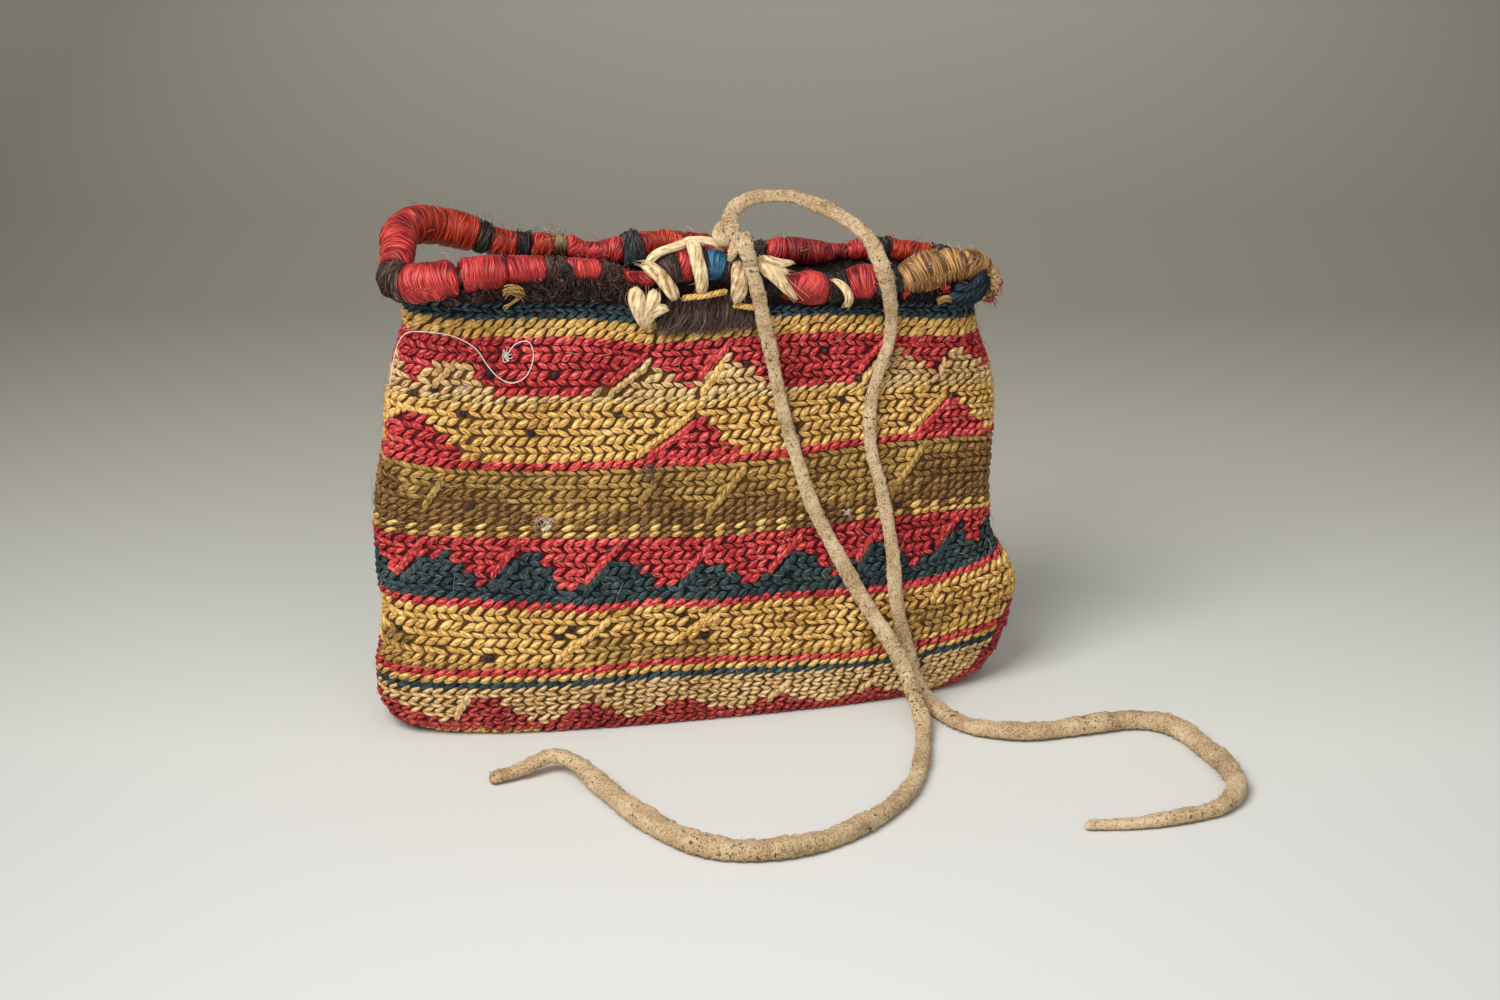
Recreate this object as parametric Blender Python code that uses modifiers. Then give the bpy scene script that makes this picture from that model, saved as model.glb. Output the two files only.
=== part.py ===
"""A small flat bag of wrapped-weft weave, with a yarn-wound rim, cotton lacing and a hide thong.

The bag stands on its base at z = 0, its front faces -Y and its width runs along X.
Sizes are in millimetres here and are turned into metres where a mesh is made.
"""

import math

import bmesh
import bpy
from mathutils import Vector

MM = 0.001

# Driving sizes of the bag
BAG_WIDTH = 156.0
BAG_HEIGHT = 106.0
MOUTH_DEPTH = 24.0
BELLY_DEPTH = 37.0
BASE_DEPTH = 24.0
BASE_WIDTH = 130.0
WALL = 2.6
ROW_RELIEF = 0.6
SECTION_POWER = 2.7

# Driving sizes of the rim and of what is on it
RIM_WRAP = 0.8
WRAP_END_DROP = 0.35
WRAP_ROUNDING = 0.6
WRAP_GAP = 0.4
CORE_LEAST = 0.6
CORE_SHARE = 0.92
CLEARANCE = 0.3
EDGE_SEAM_LEAST = 0.45
LACE_RADIUS = 1.4
LACE_TOP_RADIUS = 0.9
GOLD_ROPE_RADIUS = 0.75
WOOL_THICKNESS = 4.4
WOOL_HEIGHT = 7.8
WOOL_WIDTH = 23.0
KNOT_WIDTH = 9.0
KNOT_HEIGHT = 6.2
KNOT_DEPTH = 6.2
KNOT_PLACE = 20.35
KNOT_SHIFT = -2.5
THONG_LOOP_RADIUS = 1.0
LOOP_EASE = 0.75
LOOP_LIFT = 0.9
LOOP_STRETCH = 1.2
THREAD_RADIUS = 0.25

# The drawing was measured on a bag of these sizes. A bag of other sizes stretches it.
DRAWN_WIDTH = 156.0
DRAWN_HEIGHT = 106.0
DRAWN_MOUTH = 24.0
STRETCH_X = BAG_WIDTH / DRAWN_WIDTH
STRETCH_Z = BAG_HEIGHT / DRAWN_HEIGHT
STRETCH_Y = MOUTH_DEPTH / DRAWN_MOUTH

# Height over which the lower corners close in to the base
CORNER_HEIGHT = 15.0
# Heights at which the depth of the bag is given, from the base up
DEPTH_HEIGHTS = [0, 1.2, 4, 12, 30, 60, 90, 106]

# Outline of the bag: height, left edge, right edge
OUTLINE = [
    (0, -66.5, 62.0),
    (3, -75.0, 69.5),
    (8, -77.8, 73.5),
    (15, -78.0, 76.0),
    (25, -76.5, 78.0),
    (31, -76.9, 76.6),
    (40, -77.4, 72.2),
    (51, -77.6, 70.5),
    (62, -76.4, 71.2),
    (71, -74.5, 71.6),
    (80, -74.3, 70.8),
    (90, -72.4, 67.8),
    (99, -70.6, 66.8),
    (108, -70.4, 66.8),
]

# Rows of weave at known heights: row number, then the front's height at each station across
STATIONS = [-75, -60, -45, -30, -15, 0, 15, 30, 45, 60, 72]
ROW_LINES = [
    (-0.5, [105.6, 106.6, 106.0, 105.4, 103.2, 102.6, 101.2, 99.9, 99.9, 97.8, 96.8]),
    (2.5, [103.5, 102.2, 101.8, 101.2, 99.0, 98.5, 98.8, 98.2, 96.2, 93.6, 92.4]),
    (4.5, [99.6, 98.0, 97.8, 97.2, 94.6, 94.5, 94.8, 94.2, 92.0, 89.6, 88.7]),
    (22, [69.6, 68.3, 67.2, 66.7, 66.6, 66.0, 66.3, 67.2, 67.5, 66.8, 64.3]),
    (31.5, [52.5, 52.5, 51.9, 51.0, 49.9, 48.8, 49.2, 49.6, 49.8, 48.6, 46.0]),
    (42, [35.2, 34.9, 33.5, 31.8, 32.6, 31.0, 31.4, 31.0, 30.5, 31.6, 33.4]),
    (52, [17.0, 16.9, 16.8, 16.4, 17.2, 16.6, 15.4, 14.5, 14.4, 15.6, 16.2]),
    (62.5, [0, 0, 0, 0, 0, 0, 0, 0, 0, 0, 0]),
]
# Height of the back's top edge at the same stations
BACK_TOP = [105.6, 105.0, 104.4, 104.0, 104.0, 103.8, 102.6, 101.2, 99.8, 98.4, 96.8]

# Route of the rim, anticlockwise from the front left corner:
# across, forward or back, height of its middle, radius over the winding
RIM = [
    (-72.4, -6.8, 113.0, 4.8),
    (-70.8, -10.5, 112.0, 4.9),
    (-66.9, -13.2, 112.6, 4.9),
    (-61.1, -14.0, 113.3, 4.7),
    (-58.8, -14.0, 113.6, 4.4),
    (-55.9, -14.0, 113.9, 4.5),
    (-50.1, -14.0, 114.2, 4.3),
    (-47.4, -14.0, 114.3, 4.0),
    (-43.0, -14.0, 114.2, 3.8),
    (-38.7, -14.0, 114.1, 3.5),
    (-36.1, -14.0, 113.8, 3.3),
    (-30.6, -14.0, 113.5, 3.1),
    (-26.0, -14.0, 112.8, 2.9),
    (-22.5, -14.0, 111.6, 2.6),
    (-18.6, -14.0, 110.6, 2.1),
    (-14.9, -14.0, 110.4, 2.3),
    (-11.6, -14.0, 111.6, 3.4),
    (-7.4, -14.0, 112.8, 4.0),
    (-2.7, -14.0, 113.0, 4.0),
    (1.5, -14.0, 112.3, 3.8),
    (5.5, -14.0, 110.6, 3.2),
    (9.7, -13.7, 108.2, 2.7),
    (13.6, -13.2, 106.4, 2.6),
    (17.6, -13.0, 105.6, 3.0),
    (23.3, -13.0, 105.3, 4.4),
    (28.3, -13.0, 104.4, 3.4),
    (31.4, -13.0, 104.0, 2.9),
    (36.0, -13.0, 105.6, 3.9),
    (40.3, -13.0, 105.6, 3.5),
    (44.6, -13.0, 105.5, 3.6),
    (50.4, -13.0, 107.1, 5.1),
    (55.4, -13.0, 108.1, 4.6),
    (59.7, -12.5, 108.2, 4.3),
    (63.8, -11.0, 107.4, 3.9),
    (67.4, -7.5, 106.3, 3.6),
    (69.6, -2.0, 105.4, 3.4),
    (69.6, 4.0, 104.8, 3.2),
    (67.0, 9.2, 104.8, 3.1),
    (61.8, 12.0, 104.8, 3.0),
    (53.8, 12.5, 105.4, 3.2),
    (48.1, 12.5, 106.1, 2.8),
    (41.5, 12.5, 106.0, 2.9),
    (37.1, 12.5, 105.5, 3.0),
    (30.9, 12.5, 105.8, 3.2),
    (23.6, 12.5, 106.5, 2.7),
    (18.7, 12.5, 107.2, 2.4),
    (12.7, 12.5, 108.3, 2.4),
    (3.0, 12.5, 109.5, 2.6),
    (-4.5, 12.5, 110.5, 3.0),
    (-9.0, 12.5, 110.8, 3.3),
    (-12.6, 12.5, 110.4, 3.4),
    (-16.7, 12.5, 109.6, 2.7),
    (-23.4, 12.5, 109.8, 2.4),
    (-28.6, 12.5, 111.4, 2.9),
    (-31.7, 12.5, 112.2, 3.1),
    (-38.7, 12.8, 112.9, 3.3),
    (-43.8, 13.0, 113.8, 3.6),
    (-48.0, 13.0, 115.0, 4.2),
    (-53.4, 13.0, 116.8, 4.7),
    (-59.8, 12.0, 118.6, 4.8),
    (-65.0, 8.6, 119.9, 4.8),
    (-69.4, 3.0, 118.9, 4.8),
    (-71.6, -2.8, 116.0, 4.8),
]

# Windings: name, start and end on the route, colour, rings along it
WINDINGS = [
    ("wrap_brown_corner", -0.35, 1.3, "brown", 7),
    ("wrap_crimson_front_1", 1.3, 3.85, "crimson", 7),
    ("wrap_crimson_front_2", 4.3, 7.0, "crimson", 5),
    ("wrap_crimson_front_3", 7.0, 9.0, "crimson", 4),
    ("wrap_brown_front_1", 9.0, 10.45, "brown", 4),
    ("wrap_crimson_front_4", 10.45, 12.0, "crimson", 4),
    ("wrap_brown_front_2", 12.0, 13.3, "brown", 4),
    ("wrap_crimson_thin", 13.3, 15.35, "crimson", 4),
    ("wrap_hump_brown_1", 15.35, 16.9, "brown", 5),
    ("wrap_hump_crimson", 16.9, 17.6, "crimson", 4),
    ("wrap_hump_brown_2", 17.6, 18.25, "brown", 4),
    ("wrap_hump_blue", 18.25, 19.3, "blue", 4),
    ("wrap_hump_brown_3", 19.3, 20.5, "brown", 4),
    ("wrap_dark_middle", 20.5, 22.75, "black", 4),
    ("wrap_crimson_bud", 22.75, 24.85, "crimson", 6),
    ("wrap_black_band", 24.85, 26.25, "black", 4),
    ("wrap_crimson_knot", 26.25, 27.7, "crimson", 4),
    ("wrap_teal_right", 27.7, 29.1, "teal", 4),
    ("wrap_camel_1", 29.1, 31.0, "camel", 5),
    ("wrap_camel_2", 31.0, 32.1, "camel", 4),
    ("wrap_camel_3", 32.1, 35.2, "camel", 7),
    ("wrap_back_brown_right", 35.2, 38.3, "brown", 7),
    ("wrap_back_orange_right", 38.3, 39.8, "orange", 4),
    ("wrap_back_black_right", 39.8, 40.4, "black", 4),
    ("wrap_back_crimson_right", 40.4, 41.6, "crimson", 4),
    ("wrap_back_dark_crimson", 41.6, 44.0, "dark_crimson", 5),
    ("wrap_back_crimson_small", 44.0, 45.0, "crimson", 4),
    ("wrap_back_dark_knob", 45.0, 45.75, "black", 4),
    ("wrap_back_crimson_middle", 45.75, 47.5, "crimson", 5),
    ("wrap_back_orange_middle", 47.5, 49.4, "orange", 4),
    ("wrap_back_teal", 49.4, 50.8, "teal", 4),
    ("wrap_back_crimson_left", 50.8, 53.1, "crimson", 4),
    ("wrap_back_olive", 53.1, 54.1, "olive", 4),
    ("wrap_back_orange_1", 54.1, 54.8, "orange", 4),
    ("wrap_back_black_1", 54.8, 55.35, "black", 4),
    ("wrap_back_orange_2", 55.35, 56.8, "orange", 4),
    ("wrap_back_black_2", 56.8, 57.4, "black", 4),
    ("wrap_back_orange_3", 57.4, 58.8, "orange", 4),
    ("wrap_back_orange_4", 58.8, 60.35, "orange", 5),
    ("wrap_crimson_upright", 60.35, 62.65, "crimson", 6),
]

# Yarn sewn along the top edge: name, start and end on the route, colour, points along it
SEAMS = [
    ("seam_front_left", 5.0, 13.9, "brown", 18),
    ("seam_front_right", 30.0, 33.0, "teal", 8),
    ("seam_back", 39.2, 55.6, "brown", 28),
]
SEAM_GROOVE = 0.86

# Cotton strands over the hump: name, start and end on the route, turn at each end
STRANDS = [
    ("lacing_strand_left", 15.0, 16.8, 52, -84),
    ("lacing_strand_middle", 17.5, 18.1, 50, -84),
    ("lacing_strand_right", 19.9, 20.3, 40, -70),
]
TOP_STRAND = (15.6, 18.2, 96)
# Thinner cotton beside the hump: place on the route, turn, radius
FAN = [(22.35, 70, 0.9), (22.7, 42, 1.3), (23.05, 16, 1.2), (23.35, -8, 0.7)]
SMALL_LOOP = [(25.75, 62, 0.6), (26.1, 28, 0.9), (26.35, -8, 0.9), (26.2, -44, 0.6)]

# What lies on the front under the rim
WOOL_MIDDLE = -0.6
WOOL_ABOVE_EDGE = 1.4
GOLD_ROPE_START = -8.2
GOLD_ROPE_LENGTH = 9.8
GOLD_TUFT_PLACE = 7.7
GOLD_TUFT_SIZE = (5.4, 2.8, 3.2)
COTTON_TUFT_MIDDLE = -16.6
COTTON_TUFT_SIZE = (7.0, 4.0, 9.6)
COTTON_TUFT_ABOVE_EDGE = 0.0

# Colour and roughness of each kind of yarn or hide
COLOURS = {
    "crimson": ((0.42, 0.035, 0.05), 0.85),
    "dark_crimson": ((0.20, 0.018, 0.03), 0.88),
    "orange": ((0.60, 0.075, 0.03), 0.85),
    "brown": ((0.045, 0.028, 0.022), 0.95),
    "black": ((0.016, 0.013, 0.013), 0.95),
    "blue": ((0.03, 0.12, 0.22), 0.9),
    "teal": ((0.022, 0.05, 0.062), 0.92),
    "camel": ((0.42, 0.27, 0.13), 0.88),
    "gold": ((0.56, 0.36, 0.12), 0.85),
    "tan": ((0.44, 0.31, 0.15), 0.88),
    "olive": ((0.20, 0.13, 0.045), 0.9),
    "cream": ((0.72, 0.57, 0.36), 0.85),
    "hide": ((0.58, 0.44, 0.27), 0.9),
    "white": ((0.8, 0.78, 0.74), 0.8),
}

# Colours of the weave by row, from the top
ROW_COLOURS = [
    (2.5, "teal"),
    (4.5, "gold"),
    (12.5, "crimson"),
    (13.5, "tan"),
    (21.5, "gold"),
    (22.5, "crimson"),
    (26.5, "olive"),
    (30.5, "brown"),
    (32.5, "gold"),
    (41.5, "crimson"),
    (42.5, "crimson"),
    (51.5, "gold"),
    (52.5, "crimson"),
    (53.5, "gold"),
    (54.5, "teal"),
    (62.0, "tan"),
    (70.0, "crimson"),
]
# Peaks woven into the bands: colour, row at the foot, row at the tip, half width, places across
PEAKS = [
    ("tan", 12.5, 5.0, 11.0, [-72.0, -58.5, -15.0, 3.5, 43.0, 55.0]),
    ("crimson", 22.5, 12.5, 12.0, [-66.5, -3.5, 55.0]),
    ("brown", 30.5, 23.0, 16.0, [-60.0, -30.0, 6.0, 40.0]),
    ("teal", 42.0, 33.5, 12.0, [-64.5, -43.0, -22.5, -1.5, 18.0, 35.0, 55.0]),
    ("crimson", 63.0, 54.0, 12.0, [-73.0, -53.0, -27.0, -6.0, 17.0, 36.0, 66.0]),
]
BAG_SLOTS = ["crimson", "gold", "tan", "teal", "olive", "brown"]

# Routes of the two tails of the thong and of the loose thread: x, y, z, radius
TAIL_FRONT = [
    (9.4, -18.7, 115.6, 1.4),
    (9.8, -19.0, 112.0, 1.8),
    (10.9, -19.3, 106.8, 2.0),
    (12.3, -18.8, 99.8, 2.0),
    (14.1, -18.0, 92.3, 2.0),
    (15.8, -17.9, 83.7, 1.9),
    (17.6, -18.3, 75.1, 1.9),
    (20.4, -19.0, 65.3, 2.0),
    (23.4, -19.6, 55.3, 2.1),
    (26.8, -20.0, 47.6, 2.2),
    (30.7, -20.4, 39.8, 2.3),
    (34.7, -21.0, 32.1, 2.4),
    (38.8, -22.6, 24.8, 2.4),
    (42.0, -24.0, 18.8, 2.4),
    (44.7, -25.4, 12.6, 2.5),
    (46.5, -28.4, 6.4, 2.5),
    (46.5, -34.0, 3.4, 2.6),
    (44.2, -42.6, 2.9, 2.7),
    (40.6, -54.0, 2.9, 2.7),
    (36.6, -63.6, 3.0, 2.8),
    (32.0, -71.2, 3.1, 2.9),
    (26.6, -77.8, 3.2, 3.0),
    (19.4, -84.4, 3.2, 3.0),
    (10.0, -90.6, 3.2, 3.0),
    (1.6, -93.3, 3.2, 3.0),
    (-7.1, -93.7, 3.2, 3.0),
    (-15.6, -90.9, 3.2, 3.0),
    (-22.6, -83.6, 3.2, 2.9),
    (-29.1, -69.8, 3.1, 2.8),
    (-34.4, -53.4, 3.4, 2.5),
    (-38.6, -41.4, 4.6, 2.2),
    (-43.6, -37.4, 4.7, 2.0),
    (-50.9, -39.2, 2.9, 1.9),
    (-58.3, -41.0, 2.3, 1.9),
]
TAIL_BACK = [
    (5.2, -12.8, 123.8, 1.5),
    (6.4, -12.7, 125.0, 1.8),
    (8.8, -12.0, 126.4, 1.8),
    (12.4, -11.0, 127.1, 1.7),
    (17.4, -10.6, 126.9, 1.6),
    (20.9, -11.0, 126.6, 1.6),
    (24.2, -12.0, 125.4, 1.8),
    (28.8, -13.5, 123.7, 2.0),
    (32.0, -15.0, 121.7, 1.9),
    (34.9, -16.6, 119.3, 1.9),
    (37.0, -18.0, 116.4, 2.0),
    (39.1, -19.4, 111.2, 2.2),
    (40.6, -19.6, 106.3, 2.2),
    (41.6, -18.6, 101.2, 2.0),
    (42.2, -16.8, 95.6, 1.6),
    (41.7, -16.0, 90.5, 1.6),
    (39.8, -16.0, 85.0, 1.7),
    (37.5, -16.6, 76.0, 1.8),
    (37.6, -17.4, 66.0, 1.8),
    (39.6, -17.8, 58.0, 1.8),
    (41.4, -18.2, 49.0, 1.9),
    (42.9, -18.9, 39.0, 2.0),
    (43.6, -19.4, 28.6, 2.0),
    (46.2, -18.9, 16.6, 2.0),
    (49.0, -18.3, 8.4, 2.0),
    (51.2, -21.4, 3.6, 2.0),
    (53.0, -28.4, 2.5, 2.1),
    (55.6, -35.0, 2.5, 2.1),
    (60.0, -39.9, 2.6, 2.2),
    (69.8, -44.2, 2.7, 2.3),
    (82.4, -43.8, 2.8, 2.4),
    (94.6, -42.9, 2.8, 2.5),
    (101.8, -46.3, 2.8, 2.5),
    (105.4, -53.0, 2.8, 2.5),
    (106.8, -61.4, 2.8, 2.5),
    (108.3, -73.2, 2.8, 2.5),
    (106.8, -84.8, 2.7, 2.4),
    (100.4, -93.2, 2.6, 2.3),
    (91.5, -96.2, 2.4, 2.1),
    (79.2, -97.2, 2.1, 1.8),
    (67.2, -95.2, 1.7, 1.4),
]
LOOSE_THREAD = [
    (-73.6, -4.0, 86.0),
    (-72.8, -4.3, 91.0),
    (-71.4, -4.6, 96.0),
    (-69.2, -6.2, 98.9),
    (-64.6, -8.2, 99.2),
    (-59.5, -9.9, 98.4),
    (-54.7, -11.2, 95.6),
    (-52.0, -12.1, 91.4),
    (-49.6, -12.8, 88.6),
    (-46.7, -13.3, 87.3),
    (-43.4, -13.5, 88.8),
    (-41.6, -13.2, 93.2),
    (-42.5, -12.6, 96.6),
    (-45.4, -12.4, 96.4),
    (-47.5, -12.5, 94.0),
]


def clear_scene():
    for item in list(bpy.data.objects):
        bpy.data.objects.remove(item, do_unlink=True)


def ease(value, points):
    """The height between measured points, by straight steps."""
    if value <= points[0][0]:
        return points[0][1]
    for (x0, y0), (x1, y1) in zip(points, points[1:]):
        if value <= x1:
            return y0 + (y1 - y0) * (value - x0) / (x1 - x0)
    return points[-1][1]


def station_value(x, values):
    return ease(x / STRETCH_X, list(zip(STATIONS, values)))


def row_height(row, x, front):
    """Height of a row of weave at a place across the bag, on its front or its back."""
    lines = []
    for number, heights in ROW_LINES:
        if front:
            height = station_value(x, heights)
        else:
            # The back's rows run straight between the two edges of the front's.
            share = (x / STRETCH_X - STATIONS[0]) / (STATIONS[-1] - STATIONS[0])
            share = min(max(share, 0.0), 1.0)
            height = heights[0] + (heights[-1] - heights[0]) * share
            if number < 0:
                height = station_value(x, BACK_TOP)
        lines.append((number, height))
    return ease(row, lines) * STRETCH_Z


def edges(z):
    """Left and right edge of the bag at a height."""
    drawn = z / STRETCH_Z
    left = ease(drawn, [(height, side) for height, side, _ in OUTLINE])
    right = ease(drawn, [(height, side) for height, _, side in OUTLINE])
    if drawn < CORNER_HEIGHT:
        # The base is as wide as its own size says, and the corners close in to it.
        share = (CORNER_HEIGHT - max(drawn, 0.0)) / CORNER_HEIGHT
        share = share**3
        centre = (OUTLINE[0][1] + OUTLINE[0][2]) / 2
        left_base = centre - BASE_WIDTH / 2 / STRETCH_X
        right_base = centre + BASE_WIDTH / 2 / STRETCH_X
        left = left + (left_base - OUTLINE[0][1]) * share
        right = right + (right_base - OUTLINE[0][2]) * share
    return left * STRETCH_X, right * STRETCH_X


def half_depth(z):
    """Half the depth of the bag at a height, over the weave."""
    mouth, belly, base = MOUTH_DEPTH / 2, BELLY_DEPTH / 2, BASE_DEPTH / 2
    depths = [
        base,
        base + (belly - base) * 0.3,
        base + (belly - base) * 0.58,
        belly - (belly - base) * 0.12,
        belly,
        mouth + (belly - mouth) * 0.78,
        mouth + (belly - mouth) * 0.3,
        mouth,
    ]
    return ease(z / STRETCH_Z, list(zip(DEPTH_HEIGHTS, depths)))


def ring_point(row, angle, inset):
    """A point on the weave: the row gives its height and the angle its place around."""
    cosine, sine = math.cos(angle), math.sin(angle)
    power = 2 / SECTION_POWER
    across = math.copysign(abs(cosine) ** power, cosine)
    deep = math.copysign(abs(sine) ** power, sine)
    x, z = across * BAG_WIDTH / 2, 0.0
    for _ in range(4):
        z = row_height(row, x, deep < 0)
        left, right = edges(z)
        x = (left + right) / 2 + across * ((right - left) / 2 - inset)
    return Vector((x, deep * (half_depth(z) - inset), z))


def front_y(x, z):
    """Where the front of the weave is at a place across and a height."""
    left, right = edges(z)
    across = min(abs((x - (left + right) / 2) / ((right - left) / 2)), 1.0)
    return -half_depth(z) * (1 - across**SECTION_POWER) ** (1 / SECTION_POWER)


def smooth_route(points, places, closed):
    """Points on a smooth curve through the route's own points, at the places asked for."""
    count = len(points)
    found = []
    for place in places:
        start = math.floor(place)
        t = place - start
        if not closed and start >= count - 1:
            start, t = count - 2, 1.0
        knots = []
        for step in (-1, 0, 1, 2):
            index = start + step
            index = index % count if closed else min(max(index, 0), count - 1)
            knots.append(points[index])
        value = []
        for a, b, c, d in zip(*knots):
            value.append(
                0.5
                * (
                    2 * b
                    + (c - a) * t
                    + (2 * a - 5 * b + 4 * c - d) * t**2
                    + (3 * b - a - 3 * c + d) * t**3
                )
            )
        found.append(value)
    return found


def make_material(name):
    colour, roughness = COLOURS[name]
    material = bpy.data.materials.get(name)
    if material is None:
        material = bpy.data.materials.new(name)
        material.use_nodes = True
        shader = material.node_tree.nodes["Principled BSDF"]
        shader.inputs["Base Color"].default_value = (*colour, 1)
        shader.inputs["Roughness"].default_value = roughness
        shader.inputs["Metallic"].default_value = 0
        material.diffuse_color = (*colour, 1)
    return material


def add_object(name, data, colour):
    item = bpy.data.objects.new(name, data)
    item.data.materials.append(make_material(colour))
    POUCH.objects.link(item)
    return item


def add_tube(name, points, colour, closed=False, sides=2, wall=None):
    """A tube along points that each give x, y, z and a radius. With a wall it is hollow."""
    curve = bpy.data.curves.new(name, "CURVE")
    curve.dimensions = "3D"
    curve.bevel_depth = MM
    curve.bevel_resolution = sides
    curve.use_fill_caps = not closed and wall is None
    spline = curve.splines.new("POLY")
    spline.points.add(len(points) - 1)
    for knot, (x, y, z, radius) in zip(spline.points, points):
        knot.co = (x * MM, y * MM, z * MM, 1)
        knot.radius = radius
    spline.use_cyclic_u = closed
    spline.use_smooth = True
    item = add_object(name, curve, colour)
    if wall is not None:
        shell = item.modifiers.new("Wall", "SOLIDIFY")
        shell.thickness = wall * MM
        shell.offset = -1
    return item


def add_lump(name, middle, size, colour, segments=14, rings=8):
    """A soft lump: a sphere stretched to its three sizes."""
    mesh = bpy.data.meshes.new(name)
    shape = bmesh.new()
    bmesh.ops.create_uvsphere(shape, u_segments=segments, v_segments=rings, radius=0.5)
    bmesh.ops.scale(shape, vec=Vector(size) * MM, verts=shape.verts)
    shape.to_mesh(mesh)
    shape.free()
    mesh.shade_smooth()
    item = add_object(name, mesh, colour)
    item.location = Vector(middle) * MM
    return item


def weave_colour(row, x):
    """Colour of the weave at a row and a place across, bands first and then their peaks."""
    colour = next(name for limit, name in ROW_COLOURS if row < limit)
    for name, foot, tip, half, places in PEAKS:
        if tip < row < foot:
            reach = half * (row - tip) / (foot - tip)
            if any(abs(x / STRETCH_X - place) < reach for place in places):
                colour = name
    return colour


def build_bag(segments=48):
    """The weave: one textile with a raised braid for each two rows, open at the mouth."""
    shape = bmesh.new()
    angles = [2 * math.pi * (k + 0.5) / segments for k in range(segments)]
    rows, row, high = [], -0.5, True
    while row < 62.0:
        rows.append((row, 0.0 if high else ROW_RELIEF))
        row += 1.0
        high = not high
    rows.append((62.5, 0.0))
    outer = [[ring_point(number, angle, inset) for angle in angles] for number, inset in rows]
    inner_rows = [-0.5, 8.5, 20.5, 34.5, 48.5, 57.0, 60.9]
    inner = [[ring_point(number, angle, WALL) for angle in angles] for number in inner_rows]
    for ring in inner:
        for point in ring:
            point.z = max(point.z, WALL)
    rings = []
    for ring in list(reversed(inner)) + outer:
        rings.append([shape.verts.new(point * MM) for point in ring])
    row_of = [6.0] * (len(inner) - 1) + [-0.5] + [number + 0.5 for number, _ in rows[:-1]]
    for upper, lower, row in zip(rings, rings[1:], row_of):
        for k in range(segments):
            n = (k + 1) % segments
            face = shape.faces.new((upper[k], lower[k], lower[n], upper[n]))
            middle_x = (upper[k].co.x + upper[n].co.x) / 2 / MM
            face.material_index = BAG_SLOTS.index(weave_colour(row, middle_x))
            face.smooth = True
    shape.faces.new(rings[0])
    base = shape.faces.new(list(reversed(rings[-1])))
    base.material_index = BAG_SLOTS.index("crimson")
    bmesh.ops.recalc_face_normals(shape, faces=shape.faces)
    mesh = bpy.data.meshes.new("woven_bag")
    shape.to_mesh(mesh)
    shape.free()
    item = add_object("woven_bag", mesh, BAG_SLOTS[0])
    for name in BAG_SLOTS[1:]:
        item.data.materials.append(make_material(name))
    return item


def top_edge(x, front):
    return row_height(-0.5, x, front)


def rim_place(place):
    """A point on the rim and its radius. It rides on the mouth of the bag."""
    x, y, z, radius = smooth_route(RIM, [place], True)[0]
    front = y < 0
    drawn_edge = ease(x, list(zip(STATIONS, ROW_LINES[0][1] if front else BACK_TOP)))
    above = z - radius - drawn_edge
    x, y = x * STRETCH_X, y * STRETCH_Y
    return Vector((x, y, top_edge(x, front) + above + radius)), radius


def rim_direction(place):
    ahead, behind = rim_place(place + 0.05)[0], rim_place(place - 0.05)[0]
    return (ahead - behind).normalized()


def around_rim(place, turn, away):
    """A point beside the rim. Turn is 0 at its outer side and 90 degrees at its top."""
    middle, radius = rim_place(place)
    along = rim_direction(place)
    out = along.cross(Vector((0, 0, 1))).normalized()
    up = out.cross(along).normalized()
    angle = math.radians(turn)
    return middle + (math.cos(angle) * out + math.sin(angle) * up) * (radius + away)


def build_windings():
    """Each length of yarn wound on the rim, as a hollow barrel that fits round the core."""
    for name, start, end, colour, rings in WINDINGS:
        points = []
        for k in range(rings):
            if k < 2:
                # The first two rings face the neighbour squarely, with half the gap to it.
                middle, radius = rim_place(start)
                middle = middle + rim_direction(start) * (WRAP_GAP / 2 + WRAP_ROUNDING * k)
            elif k > rings - 3:
                middle, radius = rim_place(end)
                back = WRAP_GAP / 2 + WRAP_ROUNDING * (rings - 1 - k)
                middle = middle - rim_direction(end) * back
            else:
                middle, radius = rim_place(start + (end - start) * (k - 1) / (rings - 3))
            drop = WRAP_END_DROP if k in (0, rings - 1) else 0.0
            points.append((*middle, radius - drop))
        thick = max(point[3] for point in points) > 3.9
        add_tube(name, points, colour, sides=3 if thick else 2, wall=RIM_WRAP)


def build_core(count=84):
    """The cord inside the windings, closed on itself."""
    points = []
    for k in range(count):
        place = k * len(RIM) / count
        middle, radius = rim_place(place)
        radius = min(radius, rim_place(place - 0.5)[1], rim_place(place + 0.5)[1])
        core = radius - WRAP_END_DROP - RIM_WRAP - CLEARANCE
        points.append((*middle, max(core * CORE_SHARE, CORE_LEAST)))
    add_tube("rim_core", points, "brown", closed=True)


def build_edge_seams():
    """Yarn sewn over and over along the top edge, filling the room under the rim."""
    for name, start, end, colour, count in SEAMS:
        points = []
        for k in range(count):
            middle, radius = rim_place(start + (end - start) * k / (count - 1))
            front = middle.y < 0
            edge = top_edge(middle.x, front)
            room = middle.z - radius - edge - 2 * CLEARANCE
            size = max(room / 2, EDGE_SEAM_LEAST)
            ridge = 1.0 if k % 2 else SEAM_GROOVE
            y = MOUTH_DEPTH / 2 - WALL / 2 + 2 * CLEARANCE
            spot = (middle.x, -y if front else y, edge + CLEARANCE + size)
            points.append((*spot, size * ridge))
        add_tube(name, points, colour)


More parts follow.
